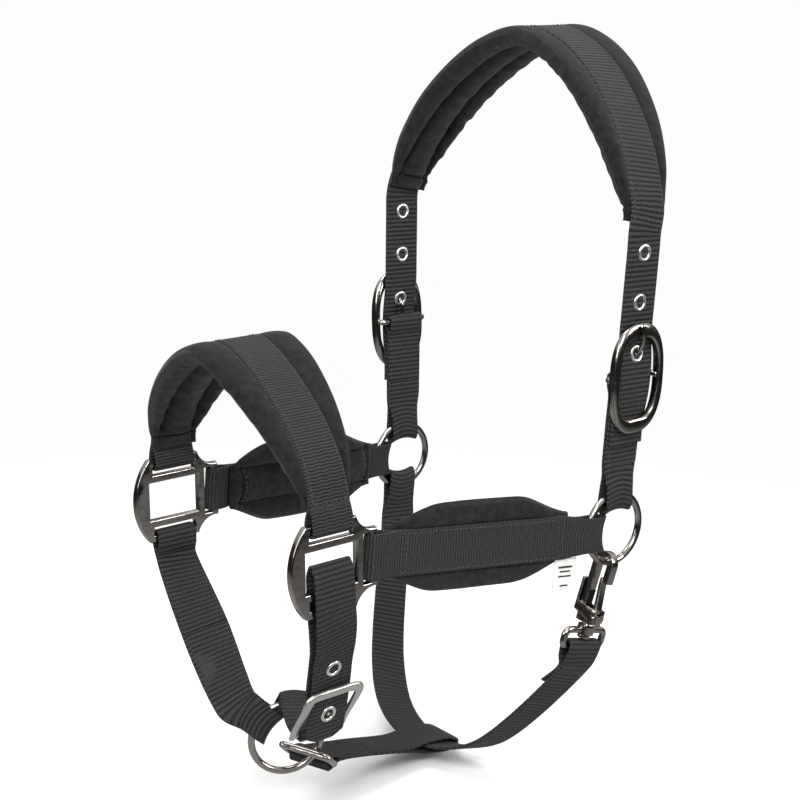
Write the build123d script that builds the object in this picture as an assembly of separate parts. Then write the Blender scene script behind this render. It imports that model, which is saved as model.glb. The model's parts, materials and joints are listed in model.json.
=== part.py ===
from build123d import *
import math
import os

# Padded webbing headcollar for a horse, in millimetres.
# X runs from the muzzle towards the poll, Y to the horse's right, Z up.
# Pieces are drawn from a point midway between the two cheek rings, then moved
# so that zero lies under the middle of the noseband, on the bridge of the nose.

# Webbing
WEB_WIDTH = 25.0
WEB_THICK = 2.0
HALF_WEB = WEB_WIDTH / 2

# Round rings
RING_RADIUS = 20.0
RING_WIRE = 4.2
RING_SPREAD = 95.0
CHIN_RING_CENTRE = Vector(-170.6, -15.0, -106.6)
CHIN_RING_YAW = 20.0

# Loops of webbing round a ring or bar
LOOP_GAP = 0.7
PINCH_ANGLE = 41.0
SEWN_NECK = 14.0
CHIN_PINCH = 30.0
CHIN_TIE_DEPTH = 8.6
RIGHT_TIE = 140.0
LEFT_TIE = 78.0

# Three-way halter squares
SQUARE_CENTRE = Vector(-184.0, 75.0, 13.0)
SQUARE_THICK = 4.5
WINDOW_LENGTH = 32.0
WINDOW_HEIGHT = 22.0
BAR_WIDTH = 4.4
SLOT_WIDTH = 4.6
SLOT_LENGTH = WEB_WIDTH + 2.0

# Crown
SIDE_LEAN = 2.2
BUCKLE_HEIGHT = 88.0
CROWN_APEX = 272.5
CROWN_BACK = 31.0
PAD_THICK = 10.0
CROWN_PAD_WIDTH = 62.0
CROWN_PAD_END = 180.0
EYELET_HEIGHTS = (101.6, 130.0, 157.0)

# Oval crown buckles
OVAL_HEIGHT = 62.0
OVAL_WIDTH = 38.0
OVAL_BAND = 5.8
FRAME_THICK = 3.2
FRAME_STANDOFF = 7.1
FRAME_BOW = 340.0
BUCKLE_BAR = 3.4
PIN_CLEARANCE = 0.06
TONGUE_WIRE = 2.6

# Eyelets
EYELET_BORE = 6.4
EYELET_BARREL = 7.2
EYELET_FLANGE = 10.4
FLANGE_THICK = 0.5
EYELET_GAP = 0.2

# Noseband and cheek pads
NOSE_APEX = 117.5
NOSE_CENTRE = -184.0
NOSE_PAD_WIDTH = 62.0
NOSE_PAD_END = 48.0
CHEEK_PAD_WIDTH = 47.0
SOFT_PAD_THICK = 9.0
SEW_GAP = 0.15
COVER_SKIN = 1.4
FOAM_GAP = 0.2

# Chin buckle
CHIN_BUCKLE_CENTRE = Vector(-175.0, -60.1, -72.0)
CHIN_LEAN = 15.0
CHIN_FRAME_WIDTH = 37.5
CHIN_TOP_BAR = 6.0
CHIN_TOP_HEIGHT = 13.0
CHIN_HEEL_DROP = 17.0
CHIN_HEEL_DEPTH = 5.6
CHIN_HEEL_BAR = 3.2
CHIN_EYELET_PITCH = 30.0
CHIN_EYELET_OFFSET = -3.0

# Connecting link and throat snap
LINK_LENGTH = 33.0
LINK_DEPTH = 18.0
LINK_WIRE = 4.0
SNAP_TILT = 15.0
SNAP_LEAN = 6.0
HOOK_INNER = 3.4
HOOK_BAR = 4.0
HOOK_THICK = 5.0
EYE_WIRE = 4.0
EYE_INNER = WEB_WIDTH + 2.0
GATE_THICK = 1.8
PIVOT_PIN = 2.4
SWIVEL_PIN = 4.6

TOP_BAR_DROP = WINDOW_HEIGHT / 2 + BAR_WIDTH + SLOT_WIDTH + BAR_WIDTH / 2
REAR_BAR_DROP = WINDOW_LENGTH / 2 + BAR_WIDTH + SLOT_WIDTH + BAR_WIDTH / 2
RING_INSIDE = RING_RADIUS - RING_WIRE / 2
RING_SAG = RING_RADIUS - math.sqrt(RING_INSIDE ** 2 - HALF_WEB ** 2) + LOOP_GAP


# ---------------------------------------------------------------- helpers
def soften(shape, edges, radius):
    """Round edges, with a smaller radius where the full one can't be made."""
    for share in (1.0, 0.6, 0.3):
        try:
            return fillet(edges, radius * share)
        except ValueError:
            continue
    return shape


def to_left(shape):
    """Mirror a right-hand piece onto the left side."""
    return mirror(shape, Plane.XZ)


def outline_of(points, closed=True):
    """Flat face inside a ring of straight lines."""
    return make_face(Polyline(*points, close=closed))


def band(path, low, high, start=0.0, stop=1.0, count=44):
    """Flat face between two curves kept at set distances beside a path."""
    first = []
    second = []
    for step in range(count + 1):
        place = start + (stop - start) * step / count
        along = path % place
        beside = Vector(-along.Y, along.X)
        first.append(path @ place + beside * low)
        second.append(path @ place + beside * high)
    edges = [
        Spline(*first),
        Line(first[-1], second[-1]),
        Spline(*reversed(second)),
        Line(second[0], first[0]),
    ]
    return make_face(edges)


def side_shape(rows):
    """Solid seen from the side as rows of (height, centre, width)."""
    front = [(centre - width / 2, height) for height, centre, width in rows]
    back = [(centre + width / 2, height) for height, centre, width in rows]
    edges = [
        Spline(*front) if len(front) > 2 else Line(*front),
        Line(front[-1], back[-1]),
        Spline(*reversed(back)) if len(back) > 2 else Line(*reversed(back)),
        Line(back[0], front[0]),
    ]
    return extrude(Plane.XZ * make_face(edges), 140.0, both=True)


def cross_strip(face, rows, reach=260.0):
    """Strap drawn across the head, cut to its outline seen from the side."""
    strip = extrude(Plane.YZ * face, reach, both=True)
    return strip & side_shape(rows)


def sewn_loop(depth, inward, outward, neck):
    """Face of a strap end folded round a bar, bar at zero, strap going up."""
    cavity = depth / 2
    skin = cavity + WEB_THICK
    turn = inward - cavity / 2
    outer = make_face([
        Line((skin, -turn), (skin, outward)),
        Line((skin, outward), (WEB_THICK, neck)),
        Line((WEB_THICK, neck), (-WEB_THICK, neck)),
        Line((-WEB_THICK, neck), (-skin, outward)),
        Line((-skin, outward), (-skin, -turn)),
        ThreePointArc((-skin, -turn), (0, -inward - WEB_THICK), (skin, -turn)),
    ])
    inner = make_face([
        Line((cavity, -turn), (cavity, outward)),
        Line((cavity, outward), (-cavity, outward)),
        Line((-cavity, outward), (-cavity, -turn)),
        ThreePointArc((-cavity, -turn), (0, -inward), (cavity, -turn)),
    ])
    return outer - inner


def loop_at(bar, strap, axis, profile, width=WEB_WIDTH):
    """Put a folded loop round a bar, the strap leaving along a direction."""
    strap = strap.normalized()
    axis = (axis - strap * axis.dot(strap)).normalized()
    plane = Plane(origin=bar, x_dir=strap.cross(axis), z_dir=axis)
    return extrude(plane * profile, width / 2, both=True)


def ring_profile():
    """Loop face that clears the arc of a ring inside its fold."""
    return sewn_loop(RING_WIRE + 2 * LOOP_GAP, RING_SAG, RING_WIRE / 2 + LOOP_GAP, SEWN_NECK)


def pinched(loop, centre, spoke, tangent, angle):
    """Loop with its inner corners pinched clear of the next loop on a ring."""
    spread = math.tan(math.radians(angle)) * 4 * RING_RADIUS
    plane = Plane(origin=centre, x_dir=tangent, z_dir=tangent.cross(spoke))
    wedge = outline_of([(0, 0), (spread, 4 * RING_RADIUS), (-spread, 4 * RING_RADIUS)])
    return loop & extrude(plane * wedge, 2 * RING_RADIUS, both=True)


def ribbon(points, leave, arrive, across_start, across_end, thick, count=10):
    """Strap swept through points while its width turns between two axes."""
    path = Spline(*points, tangents=(leave, arrive))
    sections = []
    for step in range(count + 1):
        place = step / count
        along = path % place
        across = across_start * (1 - place) + across_end * place
        across = (across - along * across.dot(along)).normalized()
        plane = Plane(origin=path @ place, x_dir=across, z_dir=along)
        sections.append(plane * Rectangle(WEB_WIDTH, thick))
    return loft(sections)


def rod(points, diameter):
    """Round wire bent through points."""
    path = Spline(*points)
    plane = Plane(origin=path @ 0, z_dir=path % 0)
    return sweep(plane * Circle(diameter / 2), path=path)


def eyelet(centre, normal):
    """Round metal eyelet clenched through one layer of webbing."""
    barrel = Cylinder(EYELET_BARREL / 2, WEB_THICK + 2 * EYELET_GAP + 2 * FLANGE_THICK)
    flange = Cylinder(EYELET_FLANGE / 2, FLANGE_THICK)
    lift = WEB_THICK / 2 + EYELET_GAP + FLANGE_THICK / 2
    body = barrel + Pos(0, 0, lift) * flange + Pos(0, 0, -lift) * flange
    body -= Cylinder(EYELET_BORE / 2, 4 * WEB_THICK)
    return Plane(origin=centre, z_dir=normal) * body


def eyelet_hole(centre, normal):
    """Cutter for the hole an eyelet fills."""
    hole = Cylinder(EYELET_BARREL / 2 + EYELET_GAP / 2, 3 * WEB_THICK)
    return Plane(origin=centre, z_dir=normal) * hole


def split_pad(cover, foam_space, foam):
    """Fabric cover with its hollow, and the foam that fills it."""
    return cover - foam_space, foam


# ---------------------------------------------------------------- rings
def cheek_ring():
    """Right cheek ring, its axis across the head."""
    plane = Plane(origin=(0, RING_SPREAD, 0), z_dir=(0, 1, 0))
    return plane * Torus(RING_RADIUS, RING_WIRE / 2)


def chin_axes():
    """In-plane rearward direction and axis of the chin ring."""
    yaw = math.radians(CHIN_RING_YAW)
    rearward = Vector(math.cos(yaw), -math.sin(yaw), 0)
    axis = Vector(-math.sin(yaw), -math.cos(yaw), 0)
    return rearward, axis


def chin_ring():
    """Lead ring under the chin."""
    plane = Plane(origin=CHIN_RING_CENTRE, z_dir=chin_axes()[1])
    return plane * Torus(RING_RADIUS, RING_WIRE / 2)


# ---------------------------------------------------------------- halter squares
def square_outline():
    """Outer shape of a halter square: curved nose edge, hollow corners."""
    top = TOP_BAR_DROP + BAR_WIDTH / 2
    back = REAR_BAR_DROP + BAR_WIDTH / 2
    half = SLOT_LENGTH / 2 + 2.4
    hollow_back = (half + back) / 2 - 2.2
    hollow_up = (half + top) / 2 - 2.2
    return make_face([
        Line((-half, top), (half, top)),
        ThreePointArc((half, top), (hollow_back, hollow_up), (back, half)),
        Line((back, half), (back, -half)),
        ThreePointArc((back, -half), (hollow_back, -hollow_up), (half, -top)),
        Line((half, -top), (-half, -top)),
        ThreePointArc((-half, -top), (-WINDOW_LENGTH / 2 - 9.0, 0), (-half, top)),
    ])


def halter_square():
    """Right three-way square with a window and three strap slots."""
    slot_rise = WINDOW_HEIGHT / 2 + BAR_WIDTH + SLOT_WIDTH / 2
    slot_back = WINDOW_LENGTH / 2 + BAR_WIDTH + SLOT_WIDTH / 2
    face = square_outline() - Rectangle(WINDOW_LENGTH, WINDOW_HEIGHT)
    face -= Pos(0, slot_rise) * Rectangle(SLOT_LENGTH, SLOT_WIDTH)
    face -= Pos(0, -slot_rise) * Rectangle(SLOT_LENGTH, SLOT_WIDTH)
    face -= Pos(slot_back, 0) * Rectangle(SLOT_WIDTH, SLOT_LENGTH)
    plate = extrude(Plane(origin=SQUARE_CENTRE, x_dir=(1, 0, 0), z_dir=(0, -1, 0)) * face,
                    SQUARE_THICK / 2, both=True)
    return soften(plate, plate.edges().filter_by(Plane.XZ), 0.9)


# ---------------------------------------------------------------- crown
def side_point(out, up):
    """Place on the leaning right side: outward from the strap and up from the ring."""
    lean = math.radians(SIDE_LEAN)
    rise = up - RING_RADIUS
    across = RING_SPREAD + out * math.cos(lean) + rise * math.sin(lean)
    height = RING_RADIUS + rise * math.cos(lean) - out * math.sin(lean)
    return across, height


def side_plane(up, back=0.0):
    """Plane across the leaning side, drawn outward and up."""
    lean = math.radians(SIDE_LEAN)
    across, height = side_point(0, up)
    return Plane(origin=(back, across, height), x_dir=(0, math.cos(lean), -math.sin(lean)),
                 z_dir=(1, 0, 0))


def strap_shift(up):
    """How far back the leaning side strap has moved at a height."""
    return 0.045 * up


def crown_path():
    """Centre line of the crown webbing from tip to tip."""
    woven = [(3.3, 50), (3.3, 58), (3.7, 66), (5.2, 78), (5.6, 88), (5.2, 96), (3.9, 106),
             (3.2, 114), (3.2, 124), (3.2, 134), (3.2, 146), (3.2, 158), (3.0, 168)]
    arch = [(102.6, 180), (97.6, 194), (87, 213), (70, 234), (48, 253), (24, 266.5)]
    right = [side_point(*spot) for spot in woven] + arch
    left = [(-across, height) for across, height in right]
    return Spline(*left, (0, CROWN_APEX), *reversed(right))


def crown_rows(width):
    """Side outline of the crown strap, leaning back over the poll."""
    return [(40, 2, width), (88, 4, width), (135, 6.5, width), (180, 9.5, width),
            (215, 16.5, width), (245, 24.5, width), (CROWN_APEX + 4, CROWN_BACK, width)]


def path_at_height(path, height):
    """Share of the way along a path where its first half passes a height."""
    low, high = 0.0, 0.5
    for _ in range(40):
        middle = (low + high) / 2
        if (path @ middle).Y < height:
            low = middle
        else:
            high = middle
    return (low + high) / 2


def crown_eyelet_spot(up):
    """Centre and outward direction of a right crown eyelet."""
    path = crown_path()
    place = 1 - path_at_height(path, side_point(4.0, up)[1])
    point = path @ place
    along = path % place
    normal = Vector(0, -along.Y, along.X)
    return Vector(strap_shift(up), point.X, point.Y), normal


def crown_webbing():
    """Long strap over the poll, both ends punched and woven into the buckles."""
    strap = cross_strip(band(crown_path(), -WEB_THICK / 2, WEB_THICK / 2, count=90),
                        crown_rows(WEB_WIDTH))
    for up in EYELET_HEIGHTS:
        hole = eyelet_hole(*crown_eyelet_spot(up))
        strap -= hole
        strap -= to_left(hole)
    return strap


def crown_pad():
    """Wide pad under the crown webbing: cover and foam."""
    path = crown_path()
    start = path_at_height(path, CROWN_PAD_END)
    outside = -WEB_THICK / 2 - SEW_GAP
    inside = outside - PAD_THICK
    rows = [(CROWN_PAD_END - 6, 9.0, 26), (CROWN_PAD_END + 14, 11.5, 36), (215, 16.5, 50),
            (240, 23.0, 58), (CROWN_APEX + 4, CROWN_BACK, CROWN_PAD_WIDTH)]
    cover = cross_strip(band(path, inside, outside, start, 1 - start), rows)
    spaces = []
    for gap in (0.0, FOAM_GAP):
        skin = COVER_SKIN + gap
        slim = [(height, centre, width - 2 * skin - 2) for height, centre, width in rows]
        trim = start + 0.012 + gap * 0.002
        face = band(path, inside + skin, outside - skin, trim, 1 - trim)
        spaces.append(cross_strip(face, slim))
    return split_pad(cover, spaces[0], spaces[1])


def upper_cheek_strap():
    """Right doubled strap from the cheek ring to the buckle bar."""
    ring_end = side_plane(RING_RADIUS) * ring_profile()
    bar_face = sewn_loop(BUCKLE_BAR + 2 * LOOP_GAP, BUCKLE_BAR / 2 + LOOP_GAP,
                         BUCKLE_BAR / 2 + LOOP_GAP, 10.0)
    bar_end = side_plane(BUCKLE_HEIGHT) * (Rot(0, 0, 180) * bar_face)
    middle_length = BUCKLE_HEIGHT - RING_RADIUS - SEWN_NECK - 10.0
    middle_height = RING_RADIUS + SEWN_NECK + middle_length / 2
    middle = side_plane(middle_height) * Rectangle(2 * WEB_THICK, middle_length)
    strap = extrude(ring_end, 40.0, both=True) + extrude(bar_end, 40.0, both=True)
    strap += extrude(middle, 40.0, both=True)
    top = BUCKLE_HEIGHT + 8.0
    strap &= side_shape([(5, strap_shift(5), WEB_WIDTH), (top, strap_shift(top), WEB_WIDTH)])
    spread = math.tan(math.radians(PINCH_ANGLE - 2)) * 6 * RING_RADIUS
    wedge = outline_of([(0, 0), (spread, 6 * RING_RADIUS), (-spread, 6 * RING_RADIUS)])
    strap &= extrude(Plane.XZ * wedge, 140.0, both=True)
    slot = side_plane(BUCKLE_HEIGHT, strap_shift(BUCKLE_HEIGHT)) * Box(12, 12, 8)
    return strap - slot


def crown_buckle_frame():
    """Right bowed oval frame with its set-in centre bar."""
    back = strap_shift(BUCKLE_HEIGHT)
    oval = Ellipse(OVAL_WIDTH / 2, OVAL_HEIGHT / 2)
    oval -= Ellipse(OVAL_WIDTH / 2 - OVAL_BAND, OVAL_HEIGHT / 2 - OVAL_BAND)
    ring = extrude(Plane.XZ * oval, 20.0, both=True)
    middle = FRAME_STANDOFF + OVAL_HEIGHT ** 2 / 8 / FRAME_BOW
    bow = Circle(FRAME_BOW + FRAME_THICK / 2) - Circle(FRAME_BOW - FRAME_THICK / 2)
    curve = extrude(Plane.YZ * (Pos(middle - FRAME_BOW, 0) * bow), 30.0, both=True)
    frame = ring & curve
    frame = soften(frame, frame.edges(), 0.8)
    bar_place = OVAL_WIDTH / 2 - OVAL_BAND / 2
    bar = Rot(0, 90, 0) * Cylinder(BUCKLE_BAR / 2, 2 * bar_place + 3.0)
    lug = Box(3.4, middle + BUCKLE_BAR / 2, 6.5)
    lift = middle / 2 - BUCKLE_BAR / 4
    frame += bar + Pos(bar_place, lift, 0) * lug + Pos(-bar_place, lift, 0) * lug
    across, height = side_point(0, BUCKLE_HEIGHT)
    return Pos(back, across, height) * Rot(-SIDE_LEAN, 0, 0) * frame


def crown_buckle_tongue():
    """Right tongue on the centre bar, cranked through the eyelet in use."""
    back = strap_shift(BUCKLE_HEIGHT)
    knuckle = Cylinder(3.1, 6.0) - Cylinder(BUCKLE_BAR / 2 + PIN_CLEARANCE, 8.0)
    crank = [(0, 1.4, 2.0), (0, 1.4, 8.5), (0, 2.1, 11.4), (0, 7.0, 15.2), (0, 9.7, 19.5),
             (0, 10.6, 30.0)]
    tongue = Rot(0, 90, 0) * knuckle + rod(crank, TONGUE_WIRE)
    tongue += Pos(*crank[-1]) * Sphere(TONGUE_WIRE / 2)
    across, height = side_point(0, BUCKLE_HEIGHT)
    return Pos(back, across, height) * Rot(-SIDE_LEAN, 0, 0) * tongue


def crown_eyelets():
    """Right crown eyelets."""
    return [eyelet(*crown_eyelet_spot(up)) for up in EYELET_HEIGHTS]


# ---------------------------------------------------------------- noseband
def nose_path():
    """Centre line of the noseband webbing, from left to right."""
    right = [(76, 36), (76, 43), (74.8, 52), (69.4, 66), (59.4, 80), (45.5, 93.5),
             (29.6, 105.3), (14, 113.8)]
    left = [(-across, height) for across, height in right]
    return Spline(*left, (0, NOSE_APEX), *reversed(right))


def square_bar_profile(neck=SEWN_NECK):
    """Loop face for a strap folded round a bar of the halter square."""
    reach = BAR_WIDTH / 2 + LOOP_GAP
    return sewn_loop(SQUARE_THICK + 2 * LOOP_GAP, reach, reach, neck)


def nose_webbing():
    """Strap over the nose with a sewn loop at each square."""
    strap = cross_strip(band(nose_path(), -WEB_THICK / 2, WEB_THICK / 2, count=60),
                        [(30, NOSE_CENTRE, WEB_WIDTH), (NOSE_APEX + 5, NOSE_CENTRE, WEB_WIDTH)])
    bar = SQUARE_CENTRE + Vector(0, 0, TOP_BAR_DROP)
    cavity = Box(WEB_WIDTH + 4, SQUARE_THICK + 2 * LOOP_GAP, BAR_WIDTH + 2 * LOOP_GAP)
    loop = loop_at(bar, Vector(0, 0, 1), Vector(1, 0, 0), square_bar_profile(11.0))
    for side in (loop, to_left(loop)):
        strap += side
    for across in (bar.Y, -bar.Y):
        strap -= Pos(bar.X, across, bar.Z) * cavity
    return strap


def nose_pad():
    """Pad under the noseband: cover and foam."""
    path = nose_path()
    start = path_at_height(path, NOSE_PAD_END)
    outside = -WEB_THICK / 2 - SEW_GAP
    inside = outside - SOFT_PAD_THICK
    rows = [(NOSE_PAD_END - 8, NOSE_CENTRE, 26), (62, NOSE_CENTRE, 38), (82, NOSE_CENTRE, 52),
            (100, NOSE_CENTRE, 60), (NOSE_APEX + 4, NOSE_CENTRE, NOSE_PAD_WIDTH)]
    cover = cross_strip(band(path, inside, outside, start, 1 - start), rows)
    spaces = []
    for gap in (0.0, FOAM_GAP):
        skin = COVER_SKIN + gap
        slim = [(height, centre, width - 2 * skin - 2) for height, centre, width in rows]
        trim = start + 0.018 + gap * 0.004
        face = band(path, inside + skin, outside - skin, trim, 1 - trim)
        spaces.append(cross_strip(face, slim))
    return split_pad(cover, spaces[0], spaces[1])


# ---------------------------------------------------------------- cheekpieces
def cheek_ends():
    """Bar of the square and arc of the ring that the right cheekpiece joins."""
    front = SQUARE_CENTRE + Vector(REAR_BAR_DROP, 0, 0)
    rear = Vector(-RING_RADIUS, RING_SPREAD, 0)
    return front, rear


def cheek_strip(half_thick, offset, low, high, rows):
    """Slab along the cheek, offset inward, cut to a side outline."""
    front, rear = cheek_ends()
    run = Vector(rear.X - front.X, rear.Y - front.Y, 0).normalized()
    inward = Vector(run.Y, -run.X, 0)
    start = Vector(front.X, front.Y, 0) + run * low + inward * offset
    finish = Vector(rear.X, rear.Y, 0) - run * high + inward * offset
    middle = (start + finish) * 0.5
    length = (finish - start).length
    plane = Plane(origin=middle, x_dir=run, z_dir=(0, 0, 1))
    slab = extrude(plane * Rectangle(length, 2 * half_thick), 60.0, both=True)
    return slab & cheek_outline(rows)


def cheek_outline(rows):
    """Solid whose side view follows rows of (share along, width)."""
    front, rear = cheek_ends()
    upper = []
    lower = []
    for share, width in rows:
        place = front + (rear - front) * share
        upper.append((place.X, place.Z + width / 2))
        lower.append((place.X, place.Z - width / 2))
    face = outline_of(upper + list(reversed(lower)))
    return extrude(Plane.XZ * face, 140.0, both=True)


def cheek_webbing():
    """Right cheek strap looped on the square and on the ring."""
    front, rear = cheek_ends()
    run = Vector(rear.X - front.X, rear.Y - front.Y, 0).normalized()
    upright = Vector(0, 0, 1)
    flat_front = Vector(front.X, front.Y, 0)
    flat_rear = Vector(rear.X, rear.Y, 0)
    front_loop = loop_at(flat_front, run, upright, square_bar_profile(), 70.0)
    rear_loop = loop_at(flat_rear, -run, upright, ring_profile(), 70.0)
    whole = [(-0.2, WEB_WIDTH), (1.2, WEB_WIDTH)]
    strap = (front_loop + rear_loop) & cheek_outline(whole)
    strap += cheek_strip(WEB_THICK, 0, SEWN_NECK - 1, SEWN_NECK - 1, whole)
    spread = math.tan(math.radians(PINCH_ANGLE)) * 12 * RING_RADIUS
    wedge = outline_of([(0, 0), (-12 * RING_RADIUS, spread), (-12 * RING_RADIUS, -spread)])
    return strap & extrude(Plane.XZ * wedge, 140.0, both=True)


def cheek_pad():
    """Right leaf-shaped cheek pad: cover and foam."""
    offset = WEB_THICK + SEW_GAP + SOFT_PAD_THICK / 2
    rows = [(0.0, 28), (0.1, 30), (0.34, CHEEK_PAD_WIDTH), (0.72, CHEEK_PAD_WIDTH),
            (0.92, 30), (1.0, 28)]
    cover = cheek_strip(SOFT_PAD_THICK / 2, offset, 14.0, 14.0, rows)
    spaces = []
    for gap in (0.0, FOAM_GAP):
        skin = COVER_SKIN + gap
        slim = [(share, width - 2 * skin - 2) for share, width in rows]
        spaces.append(cheek_strip(SOFT_PAD_THICK / 2 - skin, offset, 16.5 + gap, 16.5 + gap, slim))
    return split_pad(cover, spaces[0], spaces[1])


# ---------------------------------------------------------------- chin straps
def chin_spot(degrees):
    """Centre-out direction on the chin ring and the tangent there."""
    rearward = chin_axes()[0]
    turn = math.radians(degrees)
    outward = rearward * math.cos(turn) + Vector(0, 0, 1) * math.sin(turn)
    tangent = rearward * -math.sin(turn) + Vector(0, 0, 1) * math.cos(turn)
    return outward, tangent


def ring_tie(degrees, toward, neck):
    """Loop tied on the chin ring, with its bar point, direction and axis."""
    spoke, tangent = chin_spot(degrees)
    bar = CHIN_RING_CENTRE + spoke * RING_RADIUS
    aim = (toward - bar).normalized() + spoke * 2.2
    aim = (aim - tangent * aim.dot(tangent)).normalized()
    profile = sewn_loop(CHIN_TIE_DEPTH, RING_SAG, RING_WIRE / 2 + LOOP_GAP, neck)
    loop = loop_at(bar, aim, tangent, profile)
    return pinched(loop, CHIN_RING_CENTRE, spoke, tangent, CHIN_PINCH), bar, aim, tangent


def right_chin_strap():
    """Doubled strap from the right square to the chin ring."""
    square_bar = SQUARE_CENTRE - Vector(0, 0, TOP_BAR_DROP)
    low, ring_bar, ring_aim, tangent = ring_tie(RIGHT_TIE, square_bar, SEWN_NECK)
    leave = Vector(0, -0.12, -1).normalized()
    across = Vector(1, 0, 0)
    top = loop_at(square_bar, leave, across, square_bar_profile())
    start = square_bar + leave * (SEWN_NECK - 1)
    finish = ring_bar + ring_aim * (SEWN_NECK - 1)
    middle = ribbon([start, finish], leave, -ring_aim, across, -tangent, 2 * WEB_THICK)
    return top + low + middle


def chin_directions():
    """Down-strap and outward directions at the chin buckle."""
    lean = math.radians(CHIN_LEAN)
    down = Vector(0, math.sin(lean), -math.cos(lean))
    outward = Vector(0, -math.cos(lean), -math.sin(lean))
    return down, outward


def chin_plane():
    """Local space of the chin buckle: Y out from the face, Z up the strap."""
    down, outward = chin_directions()
    return Plane(origin=CHIN_BUCKLE_CENTRE, x_dir=(-1, 0, 0), z_dir=down * -1.0)


def chin_place(back, out, up):
    """World place from distances in the chin buckle's own space."""
    down, outward = chin_directions()
    return CHIN_BUCKLE_CENTRE + Vector(back, 0, 0) + outward * out - down * up


def left_chin_path():
    """Centre line of the adjustable chin strap, tip to sewn end."""
    tip = [chin_place(0, 0, up) for up in (-20, -10, 0, 10, 18)]
    front = [(point.Y, point.Z) for point in tip]
    front += [(-67.6, -44.5), (-73.2, -31.5), (-77.5, -19), (-78.8, -9), (-78.7, 3), (-78.0, 11)]
    fold = [(-75.0, 15.5)]
    back = [(-72.0, 11), (-71.3, 2), (-71.2, -9), (-70.2, -20), (-67.4, -33), (-63.4, -44)]
    low = [chin_place(0, -4.6, up) for up in (18, 8)]
    back += [(point.Y, point.Z) for point in low]
    return Spline(*front, *fold, *back)


def chin_rows(width=WEB_WIDTH):
    """Side outline of the adjustable chin strap."""
    return [(-100, -174.6, width), (-72, -175.0, width), (-58, -175.6, width), (-40, -177.4, width),
            (-12, -182.8, width), (24, -184, width)]


def chin_eyelet_spots():
    """Centre and outward direction of each chin eyelet."""
    path = left_chin_path()
    outward = chin_directions()[1]
    first = chin_place(0, 0, CHIN_EYELET_OFFSET)
    second = chin_place(0, 0, CHIN_EYELET_OFFSET + CHIN_EYELET_PITCH)
    place = path_at_height(path, second.Z)
    along = path % place
    spot = path @ place
    normal = Vector(0, -along.Y, along.X)
    return [(first, outward), (Vector(-176.4, spot.X, spot.Y), normal)]


def left_chin_strap():
    """Adjustable strap folded over both lower bars of the left square."""
    face = band(left_chin_path(), -WEB_THICK / 2, WEB_THICK / 2, count=90)
    strap = cross_strip(face, chin_rows())
    for centre, normal in chin_eyelet_spots():
        strap -= eyelet_hole(centre, normal)
    return strap


def chin_eyelets():
    """Two eyelets of the adjustable chin strap."""
    return [eyelet(centre, normal) for centre, normal in chin_eyelet_spots()]


def chin_buckle_frame():
    """Rectangular buckle: wide top bar, sloping sides, heel bar behind."""
    top = Pos(0, 3.3, CHIN_TOP_HEIGHT) * Box(CHIN_FRAME_WIDTH, 3.0, CHIN_TOP_BAR)
    top = soften(top, top.edges(), 1.0)
    side = CHIN_FRAME_WIDTH / 2 - 2.2
    heel = Pos(0, -CHIN_HEEL_DEPTH, -CHIN_HEEL_DROP)
    frame = top + heel * Rot(0, 90, 0) * Cylinder(CHIN_HEEL_BAR / 2, 2 * side + 3.0)
    arm_face = outline_of([(1.9, CHIN_TOP_HEIGHT + 2), (4.7, CHIN_TOP_HEIGHT + 2),
                           (4.7, CHIN_TOP_HEIGHT - 2),
                           (-CHIN_HEEL_DEPTH + 1.8, -CHIN_HEEL_DROP - 1.8),
                           (-CHIN_HEEL_DEPTH - 1.8, -CHIN_HEEL_DROP - 1.8),
                           (-CHIN_HEEL_DEPTH - 1.8, -CHIN_HEEL_DROP + 1.8)])
    for back in (side, -side):
        frame += Pos(back, 0, 0) * extrude(Plane.YZ * arm_face, 1.7, both=True)
    return chin_plane() * frame


def chin_buckle_tongue():
    """Short prong on the heel bar, its point standing in the lower eyelet."""
    knuckle = Cylinder(2.9, 5.0) - Cylinder(CHIN_HEEL_BAR / 2 + PIN_CLEARANCE, 6.0)
    heel = Pos(0, -CHIN_HEEL_DEPTH, -CHIN_HEEL_DROP)
    prong = [(0, -4.2, -15.4), (0, -4.0, -9.0), (0, -3.2, -4.9), (0, -1.2, -3.1), (0, 1.4, -3.0)]
    tongue = heel * Rot(0, 90, 0) * knuckle + rod(prong, 2.0)
    return chin_plane() * tongue


def chin_anchor_strap():
    """Short strap from the buckle's heel bar to the chin ring."""
    heel = chin_place(0, -CHIN_HEEL_DEPTH, -CHIN_HEEL_DROP)
    lower, ring_bar, ring_aim, tangent = ring_tie(LEFT_TIE, heel, 7.0)
    reach = CHIN_HEEL_BAR / 2 + LOOP_GAP
    leave = (ring_bar - heel)
    leave = Vector(0, leave.Y, leave.Z).normalized()
    bar_profile = sewn_loop(CHIN_HEEL_BAR + 2 * LOOP_GAP, reach, reach, 7.0)
    upper = loop_at(heel, leave, Vector(1, 0, 0), bar_profile)
    start = heel + leave * 6.5
    finish = ring_bar + ring_aim * 6.5
    middle = ribbon([start, finish], leave, -ring_aim, Vector(1, 0, 0), -tangent,
                    2 * WEB_THICK, count=3)
    strap = upper + lower + middle
    slot = chin_plane() * Pos(0, -CHIN_HEEL_DEPTH, -CHIN_HEEL_DROP) * Box(7.0, 12.0, 12.0)
    return strap - slot


# ---------------------------------------------------------------- link and connector
def link_frame():
    """Centre and directions of the flat link through the chin ring."""
    outward = chin_spot(-45.0)[0]
    front_bar = CHIN_RING_CENTRE + outward * (RING_INSIDE - LINK_WIRE / 2 - 1.6)
    length = Vector(0.45, -0.88, -0.1).normalized()
    depth = Vector(9.9, 4.3, -9.0)
    depth = (depth - length * depth.dot(length)).normalized()
    return front_bar, length, depth


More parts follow.
